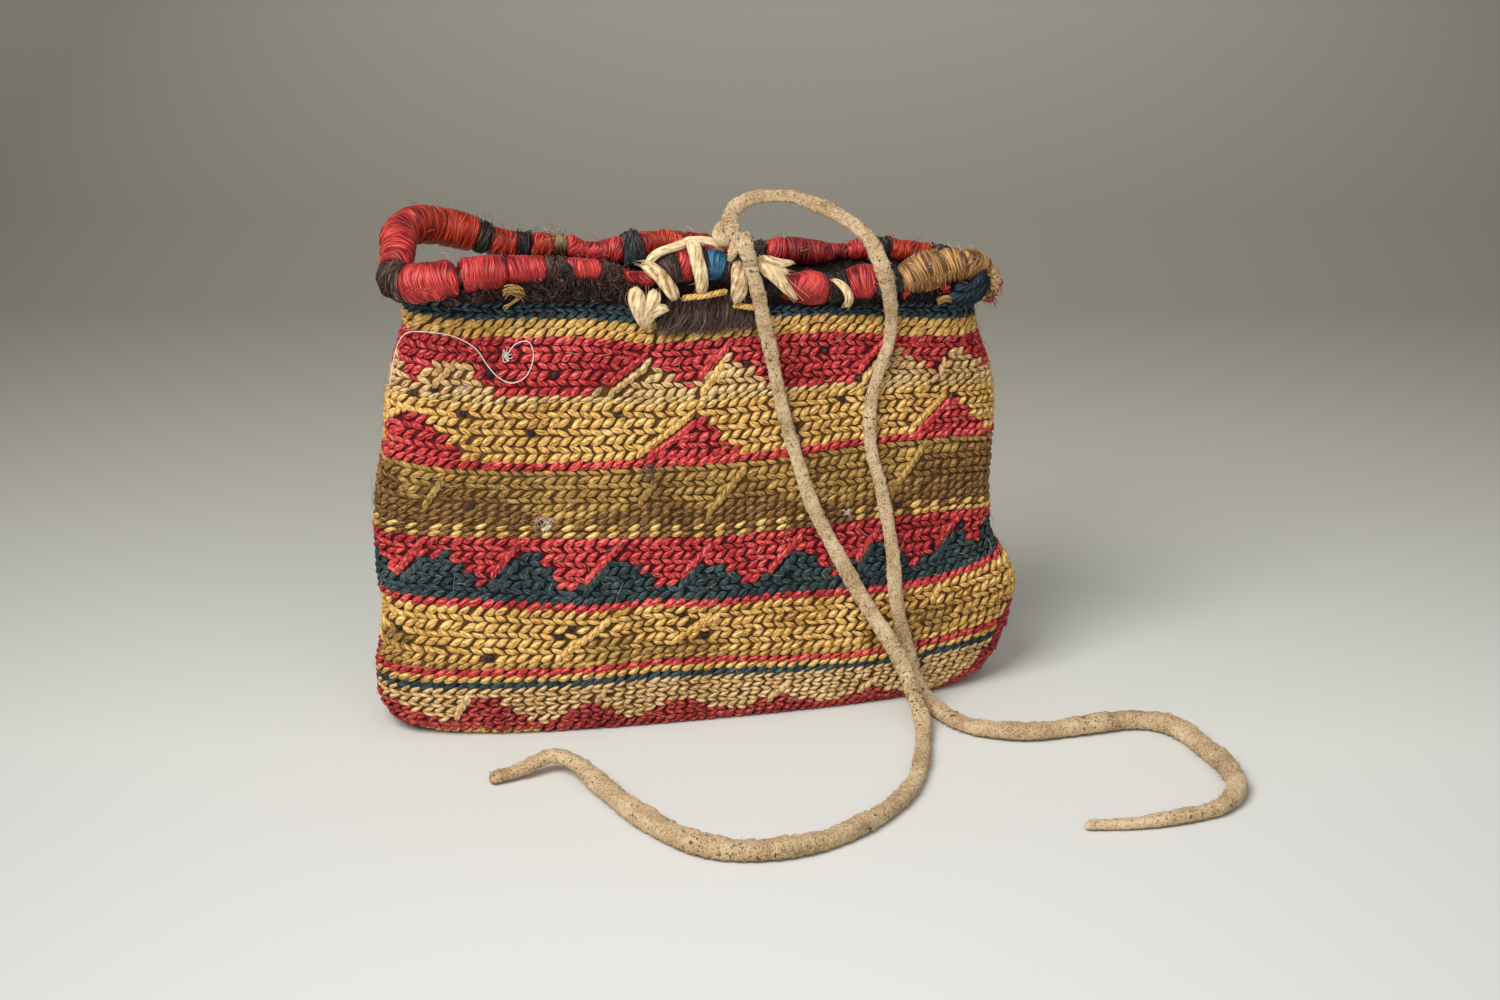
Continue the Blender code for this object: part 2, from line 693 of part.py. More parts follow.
def build_lacing():
    """Cotton yarn laced over the hump of the rim, in the strands that show."""
    for name, start, end, high, low in STRANDS:
        points = []
        for k in range(9):
            share = k / 8
            place = start + (end - start) * share
            away = CLEARANCE + LACE_RADIUS
            spot = around_rim(place, high + (low - high) * share, away)
            taper = 1 - 0.3 * (2 * share - 1) ** 2
            points.append((*spot, LACE_RADIUS * taper))
        add_tube(name, points, "cream")
    start, end, turn = TOP_STRAND
    points = []
    for k in range(8):
        place = start + (end - start) * k / 7
        spot = around_rim(place, turn, 2 * CLEARANCE + LACE_TOP_RADIUS)
        points.append((*spot, LACE_TOP_RADIUS))
    add_tube("lacing_strand_top", points, "cream")
    for name, route in (("lacing_fan", FAN), ("lacing_loop", SMALL_LOOP)):
        points = []
        for place, turn, radius in route:
            points.append((*around_rim(place, turn, 2.5 * CLEARANCE + radius), radius))
        places = [k * 3 / 8 for k in range(9)]
        add_tube(name, smooth_route(points, places, False), "cream")


def build_front_trim():
    """The wool, the gold yarns and the cotton tuft that lie on the front under the rim."""
    x = WOOL_MIDDLE * STRETCH_X
    z = top_edge(x, True) + WOOL_ABOVE_EDGE - WOOL_HEIGHT / 2
    y = front_y(x, z - WOOL_HEIGHT / 2) - CLEARANCE - WOOL_THICKNESS / 2
    size = (WOOL_WIDTH, WOOL_THICKNESS, WOOL_HEIGHT)
    add_lump("wool_patch", (x, y, z), size, "brown", 18, 10)
    top = z + WOOL_HEIGHT / 2 + CLEARANCE + GOLD_ROPE_RADIUS
    points = []
    for k in range(7):
        place_x = (GOLD_ROPE_START + GOLD_ROPE_LENGTH * k / 6) * STRETCH_X
        ridge = 1.0 if k % 2 else SEAM_GROOVE
        points.append((place_x, y - CLEARANCE, top, GOLD_ROPE_RADIUS * ridge))
    add_tube("gold_rope", points, "gold")
    middle, radius = rim_place(GOLD_TUFT_PLACE)
    width, depth, height = GOLD_TUFT_SIZE
    spot = (middle.x, middle.y - depth / 2, middle.z - radius - height / 2 - CLEARANCE)
    add_lump("gold_tuft", spot, GOLD_TUFT_SIZE, "gold", 10, 6)
    x = COTTON_TUFT_MIDDLE * STRETCH_X
    z = top_edge(x, True) + COTTON_TUFT_ABOVE_EDGE
    width, depth, height = COTTON_TUFT_SIZE
    y = front_y(x, z - height / 2) - CLEARANCE * 2 - depth / 2
    add_lump("lacing_tuft", (x, y, z), COTTON_TUFT_SIZE, "cream", 12, 8)


def build_thong_knot():
    """The knot: a lump on the rim, with the turn of thong that goes behind and under the rim."""
    middle, radius = rim_place(KNOT_PLACE)
    across = radius + LOOP_EASE + THONG_LOOP_RADIUS
    turn = []
    for k in range(11):
        angle = math.radians(105 - 17.5 * k)
        y = middle.y + math.cos(angle) * across
        z = middle.z + LOOP_LIFT + math.sin(angle) * across * LOOP_STRETCH
        turn.append((middle.x, y, z, THONG_LOOP_RADIUS))
    curve = add_tube("thong_turn", turn, "hide")
    bpy.context.view_layer.update()
    graph = bpy.context.evaluated_depsgraph_get()
    mesh = bpy.data.meshes.new_from_object(curve.evaluated_get(graph))
    shape = bmesh.new()
    shape.from_mesh(mesh)
    bmesh.ops.remove_doubles(shape, verts=shape.verts, dist=1e-6)
    shape.to_mesh(mesh)
    shape.free()
    guide = bpy.data.objects.new("thong_turn_guide", mesh)
    guide.matrix_world = curve.matrix_world.copy()
    guide.hide_render = True
    guide.display_type = "WIRE"
    GUIDES.objects.link(guide)
    bpy.data.objects.remove(curve, do_unlink=True)
    foot = middle.z + LOOP_LIFT + across * LOOP_STRETCH
    spot = (middle.x + KNOT_SHIFT, middle.y - 0.7, foot + KNOT_HEIGHT / 2)
    lump = add_lump("thong_knot", spot, (KNOT_WIDTH, KNOT_DEPTH, KNOT_HEIGHT), "hide", 14, 8)
    join = lump.modifiers.new("Join", "BOOLEAN")
    join.operation = "UNION"
    join.object = guide


def build_cords():
    """The tails of the thong and the loose thread, along their routes."""
    count = 60
    for name, route in (("thong_tail_front", TAIL_FRONT), ("thong_tail_back", TAIL_BACK)):
        places = [k * (len(route) - 1) / (count - 1) for k in range(count)]
        add_tube(name, smooth_route(route, places, False), "hide")
    route = [(*point, THREAD_RADIUS) for point in LOOSE_THREAD]
    places = [k * (len(route) - 1) / 43 for k in range(44)]
    add_tube("loose_thread", smooth_route(route, places, False), "white")


def centre_pieces():
    """Move every piece so that the box round all but the cords has x = y = 0 at its middle."""
    bpy.context.view_layer.update()
    graph = bpy.context.evaluated_depsgraph_get()
    low, high = Vector((1, 1, 1)), Vector((-1, -1, -1))
    for item in POUCH.objects:
        if item.name in CORDS:
            continue
        shaped = item.evaluated_get(graph)
        mesh = shaped.to_mesh()
        for vertex in mesh.vertices:
            spot = shaped.matrix_world @ vertex.co
            low = Vector(map(min, low, spot))
            high = Vector(map(max, high, spot))
        shaped.to_mesh_clear()
    move = Vector((-(low.x + high.x) / 2, -(low.y + high.y) / 2, -low.z))
    for item in list(POUCH.objects) + list(GUIDES.objects):
        item.location += move
    return move / MM


CORDS = ("thong_tail_front", "thong_tail_back", "loose_thread")

clear_scene()
POUCH = bpy.data.collections.new("tobacco_pouch")
GUIDES = bpy.data.collections.new("guides")
bpy.context.scene.collection.children.link(POUCH)
bpy.context.scene.collection.children.link(GUIDES)
build_bag()
build_core()
build_windings()
build_edge_seams()
build_lacing()
build_front_trim()
build_thong_knot()
build_cords()
centre_pieces()
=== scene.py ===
"""Looks of a small flat bag of wrapped-weft weave, with a yarn-wound rim and a hide thong.

Sizes are in millimetres in the tables and turn into metres where a mesh is made. The bag
faces -Y, its width runs along X, and rows of weave are counted from the top edge down.
"""

import math

import bpy
import numpy as np
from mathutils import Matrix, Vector


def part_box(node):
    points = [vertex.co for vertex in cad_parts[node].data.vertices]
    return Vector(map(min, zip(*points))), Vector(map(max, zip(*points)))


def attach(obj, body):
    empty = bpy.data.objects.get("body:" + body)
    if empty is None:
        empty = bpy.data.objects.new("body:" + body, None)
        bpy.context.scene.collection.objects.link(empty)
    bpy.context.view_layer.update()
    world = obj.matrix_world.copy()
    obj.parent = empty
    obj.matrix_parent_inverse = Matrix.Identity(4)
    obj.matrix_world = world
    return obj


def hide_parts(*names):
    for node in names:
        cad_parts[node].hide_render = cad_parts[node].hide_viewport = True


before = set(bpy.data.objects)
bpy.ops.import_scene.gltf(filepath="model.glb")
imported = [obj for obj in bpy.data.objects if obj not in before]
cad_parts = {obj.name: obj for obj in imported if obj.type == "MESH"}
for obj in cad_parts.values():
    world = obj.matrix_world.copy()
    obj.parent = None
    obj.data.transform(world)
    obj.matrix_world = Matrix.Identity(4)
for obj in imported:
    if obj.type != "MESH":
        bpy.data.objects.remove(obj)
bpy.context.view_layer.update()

MM = 0.001
RANDOM = np.random.default_rng(11)

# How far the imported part's frame is from the frame that the tables were drawn in
CENTRING = np.array([0.1, 1.318, 0.0])

# Camera
CAMERA_TARGET = (0.0101, -0.0087, 0.053)
CAMERA_AZIMUTH = -13.0
CAMERA_ELEVATION = 20.0
CAMERA_DISTANCE = 0.9
CAMERA_LENS = 91.5

# The form of the bag, within a millimetre or two of the part's own: power of the rounded
# section, half of the greatest width, width of the flat base and how high its corners reach
SECTION_POWER = 2.7
HALF_WIDTH = 78.0
BASE_WIDTH = 130.0
CORNER_HEIGHT = 15.0

# Height, left edge and right edge
OUTLINE = [
    (0, -66.5, 62.0), (3, -75.0, 69.5), (8, -77.8, 73.5), (15, -78.0, 76.0), (25, -76.5, 78.0),
    (31, -75.8, 75.8), (35, -76.6, 72.6), (40, -77.4, 71.0), (51, -77.6, 70.5), (62, -76.4, 71.2),
    (71, -74.5, 71.6), (80, -74.0, 70.4), (90, -72.0, 66.8), (99, -69.2, 65.8), (108, -69.0, 66.0),
]
# Height and half the depth
DEPTHS = [
    (0, 14.5), (1.2, 15.8), (4, 16.9), (12, 17.9), (30, 18.5), (60, 17.1), (90, 13.95), (106, 12.0),
]
# Places across, and the heights there of some rows of the weave, and of its top edge behind
STATIONS = [-75, -60, -45, -30, -15, 0, 15, 30, 45, 60, 72]
ROW_LINES = [
    (-0.5, [105.6, 106.6, 106.0, 105.4, 103.2, 102.6, 101.2, 99.9, 99.9, 97.8, 96.8]),
    (2.5, [103.5, 102.2, 101.8, 101.2, 99.0, 98.5, 98.8, 98.2, 96.2, 93.6, 92.4]),
    (4.5, [99.6, 98.0, 97.8, 97.2, 94.6, 94.5, 94.8, 94.2, 92.0, 89.6, 88.7]),
    (22, [69.6, 68.3, 67.2, 66.7, 66.6, 66.0, 66.3, 67.2, 67.5, 66.8, 64.3]),
    (31.5, [52.5, 52.5, 51.9, 51.0, 49.9, 48.8, 49.2, 49.6, 49.8, 48.6, 46.0]),
    (42, [35.2, 34.9, 33.5, 31.8, 32.6, 31.0, 31.4, 31.0, 30.5, 31.6, 33.4]),
    (52, [17.0, 16.9, 16.8, 16.4, 17.2, 16.6, 15.4, 14.5, 14.4, 15.6, 16.2]),
    (62.5, [0, 0, 0, 0, 0, 0, 0, 0, 0, 0, 0]),
]
BACK_TOP = [105.6, 105.0, 104.4, 104.0, 104.0, 103.8, 102.6, 101.2, 99.8, 98.4, 96.8]

# The weave: columns of stitches all round, the size of one at each edge, and the half width
# and half depth along which they are counted
COLUMNS = 128
PITCH_LEFT = 2.85
PITCH_RIGHT = 2.5
COUNT_WIDTH = 75
COUNT_DEPTH = 16

# First and last row, and how far about a stitch its directions are taken
FIRST_ROW = -0.5
LAST_ROW = 62.5
NEARBY = 0.3

# A place x behind carries what the front has at this value less x
BACK_TURN = 2.0

# Bands of stitches: first row, last row, lines of stitches, slant of the first, whether the
# slant turns over at each line, length in pitches, and how fat they are
BANDS = [
    (-0.5, 2.5, 3, 1, True, 1.2, 1.1),
    (2.5, 4.5, 2, 1, False, 1.28, 1.14),
    (4.5, 12.5, 7, 1, True, 1.19, 1.16),
    (12.5, 13.3, 1, 1, False, 1.2, 1.2),
    (13.3, 21.5, 7, 1, True, 1.19, 1.16),
    (21.5, 22.5, 1, 1, False, 1.32, 1.22),
    (22.5, 28.5, 6, -1, True, 1.2, 1.2),
    (28.5, 30.5, 2, 1, False, 1.2, 1.2),
    (30.5, 32.5, 2, 1, False, 1.22, 1.15),
    (32.5, 41.5, 9, 1, True, 1.18, 1.2),
    (41.5, 42.5, 1, 1, False, 1.32, 1.25),
    (42.5, 50.6, 7, 1, True, 1.19, 1.16),
    (50.6, 51.5, 1, 1, False, 1.2, 1.2),
    (51.5, 52.5, 1, 1, False, 1.3, 1.22),
    (52.5, 53.5, 1, 1, False, 1.25, 1.18),
    (53.5, 54.5, 1, 1, False, 1.6, 1.25),
    (54.5, 61.5, 9, 1, True, 1.16, 1.2),
    (61.5, 62.4, 1, 1, False, 1.2, 1.1),
]

# Where the colours change: place across and row
CRIMSON_FOOT = [
    (-76, 5.5), (-72.5, 5.8), (-70.6, 9.6), (-68.4, 11.5), (-65.5, 8.8), (-62, 7.4), (-58, 7.4),
    (-54.6, 9.6), (-50, 12.5), (-31, 12.5), (-25, 11.3), (-20.5, 9), (-15.1, 7.3), (-8.4, 9.8),
    (-4.7, 11.3), (-1.5, 9.5), (3.6, 6.8), (10, 9), (15, 12.2), (34, 12.2), (38.2, 10.6),
    (45.4, 6.5), (49.7, 8.7), (56, 11.8), (58.2, 8.2), (60, 6.6), (65, 8.6), (69, 10.4),
]
CRIMSON_HILLS = [
    (-78, 19.6), (-75.4, 18), (-72, 15.7), (-66, 15.4), (-61.7, 18.8), (-58, 22), (-20, 22),
    (-12.5, 19.4), (-7.5, 16.6), (-4, 15.5), (0.7, 17.2), (3.8, 19.9), (7.5, 22), (47, 22),
    (53.5, 18.8), (58.8, 14.8), (63.3, 17.8), (69, 22),
]
BROWN_HILLS = [
    (-80, 22.5), (-75, 23.5), (-70, 27.5), (-64, 24.3), (-58, 25.2), (-50.8, 26.4), (-45, 28.4),
    (-38, 29.6), (-20, 28.4), (-15, 25.4), (-8, 27.4), (-2, 29), (3, 27), (7, 23.6), (10, 25),
    (14.5, 27), (21, 29.2), (42, 29), (48, 26.2), (53, 24.4), (70, 23.6),
]
TEAL_PEAKS = [
    (-78, 35), (-74.5, 39.6), (-70, 35.6), (-63.5, 34.8), (-55, 39.6), (-48, 35.2), (-42.5, 34.8),
    (-35, 40.1), (-26, 35.4), (-20, 35.8), (-12.5, 40.2), (-5, 36.4), (1.5, 36), (9, 40.1),
    (16.5, 36.2), (21.5, 35.4), (29, 40), (37, 35.8), (42.5, 35.4), (49, 39.8), (58.5, 35.6),
    (62.5, 35.8), (65.5, 39.2), (70, 34),
]
CRIMSON_BASE = [
    (-78, 56.3), (-70, 58.8), (-64.5, 60.1), (-57, 56), (-53, 56.2), (-46, 59.2), (-41, 60.4),
    (-35, 58.6), (-30, 57.4), (-24.5, 59.5), (-19.5, 60.9), (-11.5, 58.7), (-6.5, 57.9), (-1, 59.6),
    (5, 60.7), (16, 58.4), (23, 60.3), (29, 61), (37, 58.7), (44, 60.2), (55.5, 61.5), (63.5, 59.2),
    (68.5, 56.2), (71.5, 53), (73.5, 50.5), (77, 49.5),
]

# Duller patches in the lower gold band: across from and to, row from and to
OLIVE_PATCHES = [
    (-32, -21, 47, 51),
    (-21, -6, 49.2, 51),
    (-9, 2, 48.4, 51.5),
    (36, 41, 48.5, 51.5),
    (46, 59, 46.3, 50.8),
    (-80, -72, 46.8, 50.5),
]

# Holes between stitches, where a short stitch of dark yarn and the dark ground behind it give
# painted shade: place across and row
HOLES = [
    (-64.5, 11.8), (-68, 12.8), (-57, 14.6), (35, 12), (54.7, 12.5), (60, 14.5), (-52, 9.3),
    (-38, 9.4), (8, 8.2), (28, 7.5), (-73.3, 46.2), (-33.6, 45.2), (-36.3, 47), (-8, 44.6),
    (46, 46.1), (-55, 50.4), (14.5, 9.2), (-22, 15.6), (20, 18.3), (-43, 17.2), (67, 36.2),
    (44.5, 31), (61, 34.8), (30, 15.2), (-3, 47.6), (-58.5, 28),
]

# Steep stitches: how far apart they are along a flank, and degrees by which they are steeper
STEM_STEP = 1.75
STEM_TWIST = 24

# Steep stitches that climb the right-leaning flanks: colour, foot and top, across and row
STEMS = [
    ("tan", -68.4, 11.6, -63.8, 8.0), ("tan", -26.5, 12.3, -17, 7.9),
    ("crimson", -26, 10.6, -17, 6.2), ("gold", -4.2, 12.3, 2.2, 8.0),
    ("crimson", -4.4, 10.0, 3.4, 5.6), ("tan", 36, 12.3, 43.8, 7.8),
    ("crimson", 36, 10.2, 43.8, 5.8), ("tan", 56, 11.4, 58.6, 8.6),
    ("gold", -77.6, 17.4, -73, 14.6), ("gold", -20, 20.8, -6.5, 15.0),
    ("crimson", -17.5, 21.3, -6.5, 16.6), ("gold", 47, 20.6, 56.6, 14.8),
    ("crimson", 48.6, 21.3, 57.4, 16.1), ("olive", -68, 28.5, -64, 24),
    ("olive", -18.5, 27.6, -15, 24.8), ("olive", -2, 29.2, 6.4, 23.4),
    ("olive", 42.5, 29.5, 51.2, 22.9), ("bright", -74, 38.3, -68, 33.4),
    ("bright", -52.8, 38, -46, 33.2), ("bright", -31.5, 38.4, -22, 33.2),
    ("bright", -8.8, 38.2, -1, 33.4), ("bright", 12, 38.2, 20.8, 33.4),
    ("bright", 33.6, 37.8, 40.5, 33.4), ("bright", 54, 37.4, 61, 33.2),
    ("teal", -73, 39.4, -68, 36.2), ("teal", -52, 39.6, -46.5, 36),
    ("teal", -32.5, 40, -25.5, 36.4), ("teal", -10.5, 40.2, -5.5, 37.4),
    ("teal", 12.5, 39.8, 19, 36.4), ("teal", 33, 39.4, 38, 36.4), ("teal", 53, 38.8, 59.5, 36.2),
    ("gold", -40, 50.2, -28.3, 44), ("gold", -14, 48.7, -5.3, 44.3),
    ("gold", -9.5, 46.8, -3.2, 44.2), ("gold", 47, 45.5, 50.5, 43),
    ("tan", -62.5, 59.4, -58.4, 55.8), ("tan", -29.5, 57.3, -27.6, 55.9),
    ("tan", 12, 59.4, 16.3, 56.4), ("tan", 34.8, 59.4, 38.6, 57.2),
]

# Route of the rim: across, forward or back, height of its middle, radius
RIM = [
    (-72.4, -6.8, 113.0, 4.1), (-70.8, -10.5, 112.0, 4.9), (-66.9, -13.2, 112.6, 4.9),
    (-61.1, -14.0, 113.3, 4.7), (-58.8, -14.0, 113.6, 4.4), (-55.9, -14.0, 113.9, 4.5),
    (-50.1, -14.0, 114.2, 4.3), (-47.4, -14.0, 114.3, 4.0), (-43.0, -14.0, 114.2, 3.8),
    (-38.7, -14.0, 114.1, 3.5), (-36.1, -14.0, 113.8, 3.3), (-30.6, -14.0, 113.5, 3.1),
    (-26.0, -14.0, 112.8, 2.9), (-22.5, -14.0, 111.6, 2.6), (-18.6, -14.0, 110.6, 2.1),
    (-14.9, -14.0, 110.4, 2.3), (-11.6, -14.0, 111.6, 3.4), (-7.4, -14.0, 112.8, 4.0),
    (-2.7, -14.0, 113.0, 4.0), (1.5, -14.0, 112.3, 3.8), (5.5, -14.0, 110.6, 3.2),
    (9.7, -13.7, 108.2, 2.7), (13.6, -13.2, 106.4, 2.6), (17.6, -13.0, 105.6, 3.0),
    (23.3, -13.0, 105.3, 4.4), (28.3, -13.0, 104.4, 3.4), (31.4, -13.0, 105.2, 3.5),
    (36.0, -13.0, 105.8, 4.6), (40.3, -13.0, 105.6, 4.0), (44.6, -13.0, 105.5, 3.6),
    (50.4, -13.0, 107.1, 5.1), (55.4, -13.0, 108.1, 4.6), (59.7, -12.5, 108.2, 4.3),
    (63.8, -11.0, 107.4, 3.9), (66.8, -7.5, 105.0, 3.0), (67.6, -2.5, 103.6, 3.0),
    (67.4, 3.5, 102.6, 2.6), (65.8, 8.8, 102.8, 2.5), (61.8, 12.0, 103.6, 2.6),
    (53.8, 12.5, 104.8, 3.0), (48.1, 12.5, 106.1, 2.8), (41.5, 12.5, 106.0, 2.9),
    (37.1, 12.5, 105.8, 2.3), (30.9, 12.5, 106.0, 3.4), (23.6, 12.5, 107.0, 3.7),
    (18.7, 12.5, 106.9, 3.1), (12.7, 12.5, 108.3, 2.4), (3.0, 12.5, 109.6, 3.2),
    (-4.5, 12.5, 111.0, 3.1), (-9.0, 12.5, 110.8, 3.3), (-12.6, 12.5, 109.8, 4.8),
    (-16.7, 12.5, 109.8, 3.6), (-23.4, 12.5, 110.0, 2.4), (-28.6, 12.5, 111.6, 3.0),
    (-31.7, 12.5, 112.0, 3.1), (-38.7, 12.8, 112.4, 3.3), (-43.8, 13.0, 113.2, 3.5),
    (-48.0, 13.0, 114.4, 3.9), (-53.4, 13.0, 116.6, 4.7), (-59.8, 12.0, 118.6, 4.8),
    (-65.2, 8.4, 120.0, 4.8), (-69.5, 2.7, 119.3, 4.6), (-70.6, -2.7, 116.4, 4.4),
]

# How far the windings lie inside those radii
WINDING_EASE = 0.35

# Windings: node less its wrap_, start and end on the rim, colour, lean and width of the turns
WINDINGS = [
    ("brown_corner", -0.35, 1.3, "brown", 0.5, 0.9),
    ("crimson_front_1", 1.3, 3.85, "crimson", 0.7, 0.5),
    ("crimson_front_2", 4.3, 7.0, "crimson", 0.9, 0.5),
    ("crimson_front_3", 7.0, 9.0, "crimson", 0.5, 0.5),
    ("brown_front_1", 9.0, 10.45, "brown", 1.6, 0.9),
    ("crimson_front_4", 10.45, 12.0, "crimson", 0.8, 0.5),
    ("brown_front_2", 12.0, 13.3, "brown", -1.4, 0.9),
    ("crimson_thin", 13.3, 15.35, "crimson", 3.6, 1.1),
    ("hump_brown_1", 15.35, 16.9, "brown", -1.0, 0.8),
    ("hump_crimson", 16.9, 17.6, "crimson", -0.8, 0.62),
    ("hump_brown_2", 17.6, 18.25, "brown", 0.4, 0.8),
    ("hump_blue", 18.25, 19.3, "blue", 0.2, 0.6),
    ("hump_brown_3", 19.3, 20.5, "brown", 0.5, 0.8),
    ("dark_middle", 20.5, 22.75, "black", -1.0, 0.9),
    ("crimson_bud", 22.75, 24.85, "crimson", -3.0, 0.5),
    ("black_band", 24.85, 26.25, "black", -1.6, 0.7),
    ("crimson_knot", 26.25, 27.7, "crimson", 1.8, 0.8),
    ("teal_right", 27.7, 29.1, "teal", 0.6, 0.9),
    ("camel_1", 29.1, 31.0, "camel", 0.3, 0.75),
    ("camel_2", 31.0, 32.1, "camel", 1.2, 0.85),
    ("camel_3", 32.1, 35.2, "camel", -2.0, 0.85),
    ("back_brown_right", 35.2, 38.3, "brown", 0.8, 0.9),
    ("back_orange_right", 38.3, 39.8, "orange", 0.8, 0.8),
    ("back_black_right", 39.8, 40.4, "black", 0.2, 0.7),
    ("back_crimson_right", 40.4, 41.6, "crimson", 0.3, 0.7),
    ("back_dark_crimson", 41.6, 44.0, "dark_crimson", 0.2, 0.95),
    ("back_crimson_small", 44.0, 45.0, "crimson", 0.7, 0.7),
    ("back_dark_knob", 45.0, 45.75, "black", 0.3, 0.8),
    ("back_crimson_middle", 45.75, 47.5, "crimson", 0.5, 0.7),
    ("back_orange_middle", 47.5, 49.4, "orange", 0.2, 0.62),
    ("back_teal", 49.4, 50.8, "teal", 1.4, 0.95),
    ("back_crimson_left", 50.8, 53.1, "crimson", 0.9, 0.7),
    ("back_olive", 53.1, 54.1, "moss", 0.4, 0.9),
    ("back_orange_1", 54.1, 54.8, "orange", 0.2, 0.6),
    ("back_black_1", 54.8, 55.35, "black", 0.2, 0.7),
    ("back_orange_2", 55.35, 56.8, "orange", 0.3, 0.6),
    ("back_black_2", 56.8, 57.4, "black", 0.3, 0.8),
    ("back_orange_3", 57.4, 58.8, "orange", 0.5, 0.6),
    ("back_orange_4", 58.8, 60.35, "orange", 0.6, 0.6),
    ("crimson_upright", 60.35, 62.65, "crimson", 0.7, 0.75),
]
WIND_SLOTS = {
    "crimson": "yarn_crimson",
    "dark_crimson": "yarn_dark_crimson",
    "orange": "yarn_orange",
    "brown": "yarn_brown",
    "black": "yarn_black",
    "blue": "yarn_blue",
    "teal": "yarn_teal",
    "camel": "yarn_camel",
    "moss": "yarn_olive",
}

# Routes of the thong's tails and of the loose thread, as the part has them
TAIL_FRONT = [
    (9.4, -18.7, 115.6, 1.4), (9.8, -19.0, 112.0, 1.8), (10.9, -19.3, 106.8, 2.0),
    (12.3, -18.8, 99.8, 2.0), (14.1, -18.0, 92.3, 2.0), (15.8, -17.9, 83.7, 1.9),
    (17.6, -18.3, 75.1, 1.9), (20.4, -19.0, 65.3, 2.0), (23.4, -19.6, 55.3, 2.1),
    (26.8, -20.0, 47.6, 2.2), (30.7, -20.4, 39.8, 2.3), (34.7, -21.0, 32.1, 2.4),
    (38.8, -22.6, 24.8, 2.4), (42.0, -24.0, 18.8, 2.4), (44.7, -25.4, 12.6, 2.5),
    (46.5, -28.4, 6.4, 2.5), (46.5, -34.0, 3.4, 2.6), (44.2, -42.6, 2.9, 2.7),
    (40.6, -54.0, 2.9, 2.7), (36.6, -63.6, 3.0, 2.8), (32.0, -71.2, 3.1, 2.9),
    (26.6, -77.8, 3.2, 3.0), (19.4, -84.4, 3.2, 3.0), (10.0, -90.6, 3.2, 3.0),
    (1.6, -93.3, 3.2, 3.0), (-7.1, -93.7, 3.2, 3.0), (-15.6, -90.9, 3.2, 3.0),
    (-22.6, -83.6, 3.2, 2.9), (-29.1, -69.8, 3.1, 2.8), (-34.4, -53.4, 3.4, 2.5),
    (-38.6, -41.4, 4.6, 2.2), (-43.6, -37.4, 4.7, 2.0), (-50.9, -39.2, 2.9, 1.9),
    (-58.3, -41.0, 2.3, 1.9),
]
TAIL_BACK = [
    (5.2, -12.8, 123.8, 1.5), (6.4, -12.7, 125.0, 1.8), (8.8, -12.0, 126.4, 1.8),
    (12.4, -11.0, 127.1, 1.7), (17.4, -10.6, 126.9, 1.6), (20.9, -11.0, 126.6, 1.6),
    (24.2, -12.0, 125.4, 1.8), (28.8, -13.5, 123.7, 2.0), (32.0, -15.0, 121.7, 1.9),
    (34.9, -16.6, 119.3, 1.9), (37.0, -18.0, 116.4, 2.0), (39.1, -19.4, 111.2, 2.2),
    (40.6, -19.6, 106.3, 2.2), (41.6, -18.6, 101.2, 2.0), (42.2, -16.8, 95.6, 1.6),
    (41.7, -16.0, 90.5, 1.6), (39.8, -16.0, 85.0, 1.7), (37.5, -16.6, 76.0, 1.8),
    (37.6, -17.4, 66.0, 1.8), (39.6, -17.8, 58.0, 1.8), (41.4, -18.2, 49.0, 1.9),
    (42.9, -18.9, 39.0, 2.0), (43.6, -19.4, 28.6, 2.0), (46.2, -18.9, 16.6, 2.0),
    (49.0, -18.3, 8.4, 2.0), (51.2, -21.4, 3.6, 2.0), (53.0, -28.4, 2.5, 2.1),
    (55.6, -35.0, 2.5, 2.1), (60.0, -39.9, 2.6, 2.2), (69.8, -44.2, 2.7, 2.3),
    (82.4, -43.8, 2.8, 2.4), (94.6, -42.9, 2.8, 2.5), (101.8, -46.3, 2.8, 2.5),
    (105.4, -53.0, 2.8, 2.5), (106.8, -61.4, 2.8, 2.5), (108.3, -73.2, 2.8, 2.5),
    (106.8, -84.8, 2.7, 2.4), (100.4, -93.2, 2.6, 2.3), (91.5, -96.2, 2.4, 2.1),
    (79.2, -97.2, 2.1, 1.8), (67.2, -95.2, 1.7, 1.4),
]
LOOSE_THREAD = [
    (-73.6, -4.0, 86.0), (-72.8, -4.3, 91.0), (-71.4, -4.6, 96.0), (-69.2, -6.2, 98.9),
    (-64.6, -8.2, 99.2), (-59.5, -9.9, 98.4), (-54.7, -11.2, 95.6), (-52.0, -12.1, 91.4),
    (-49.6, -12.8, 88.6), (-46.7, -13.3, 87.3), (-43.4, -13.5, 88.8), (-41.6, -13.2, 93.2),
    (-42.5, -12.6, 96.6), (-45.4, -12.4, 96.4), (-47.5, -12.5, 94.0),
]


# Colours

def linear(red, green, blue):
    """A screen colour, each part from 0 to 255, as linear light."""
    found = []
    for part in (red, green, blue):
        part = part / 255
        found.append(part / 12.92 if part <= 0.04045 else ((part + 0.055) / 1.055) ** 2.4)
    return (*found, 1.0)
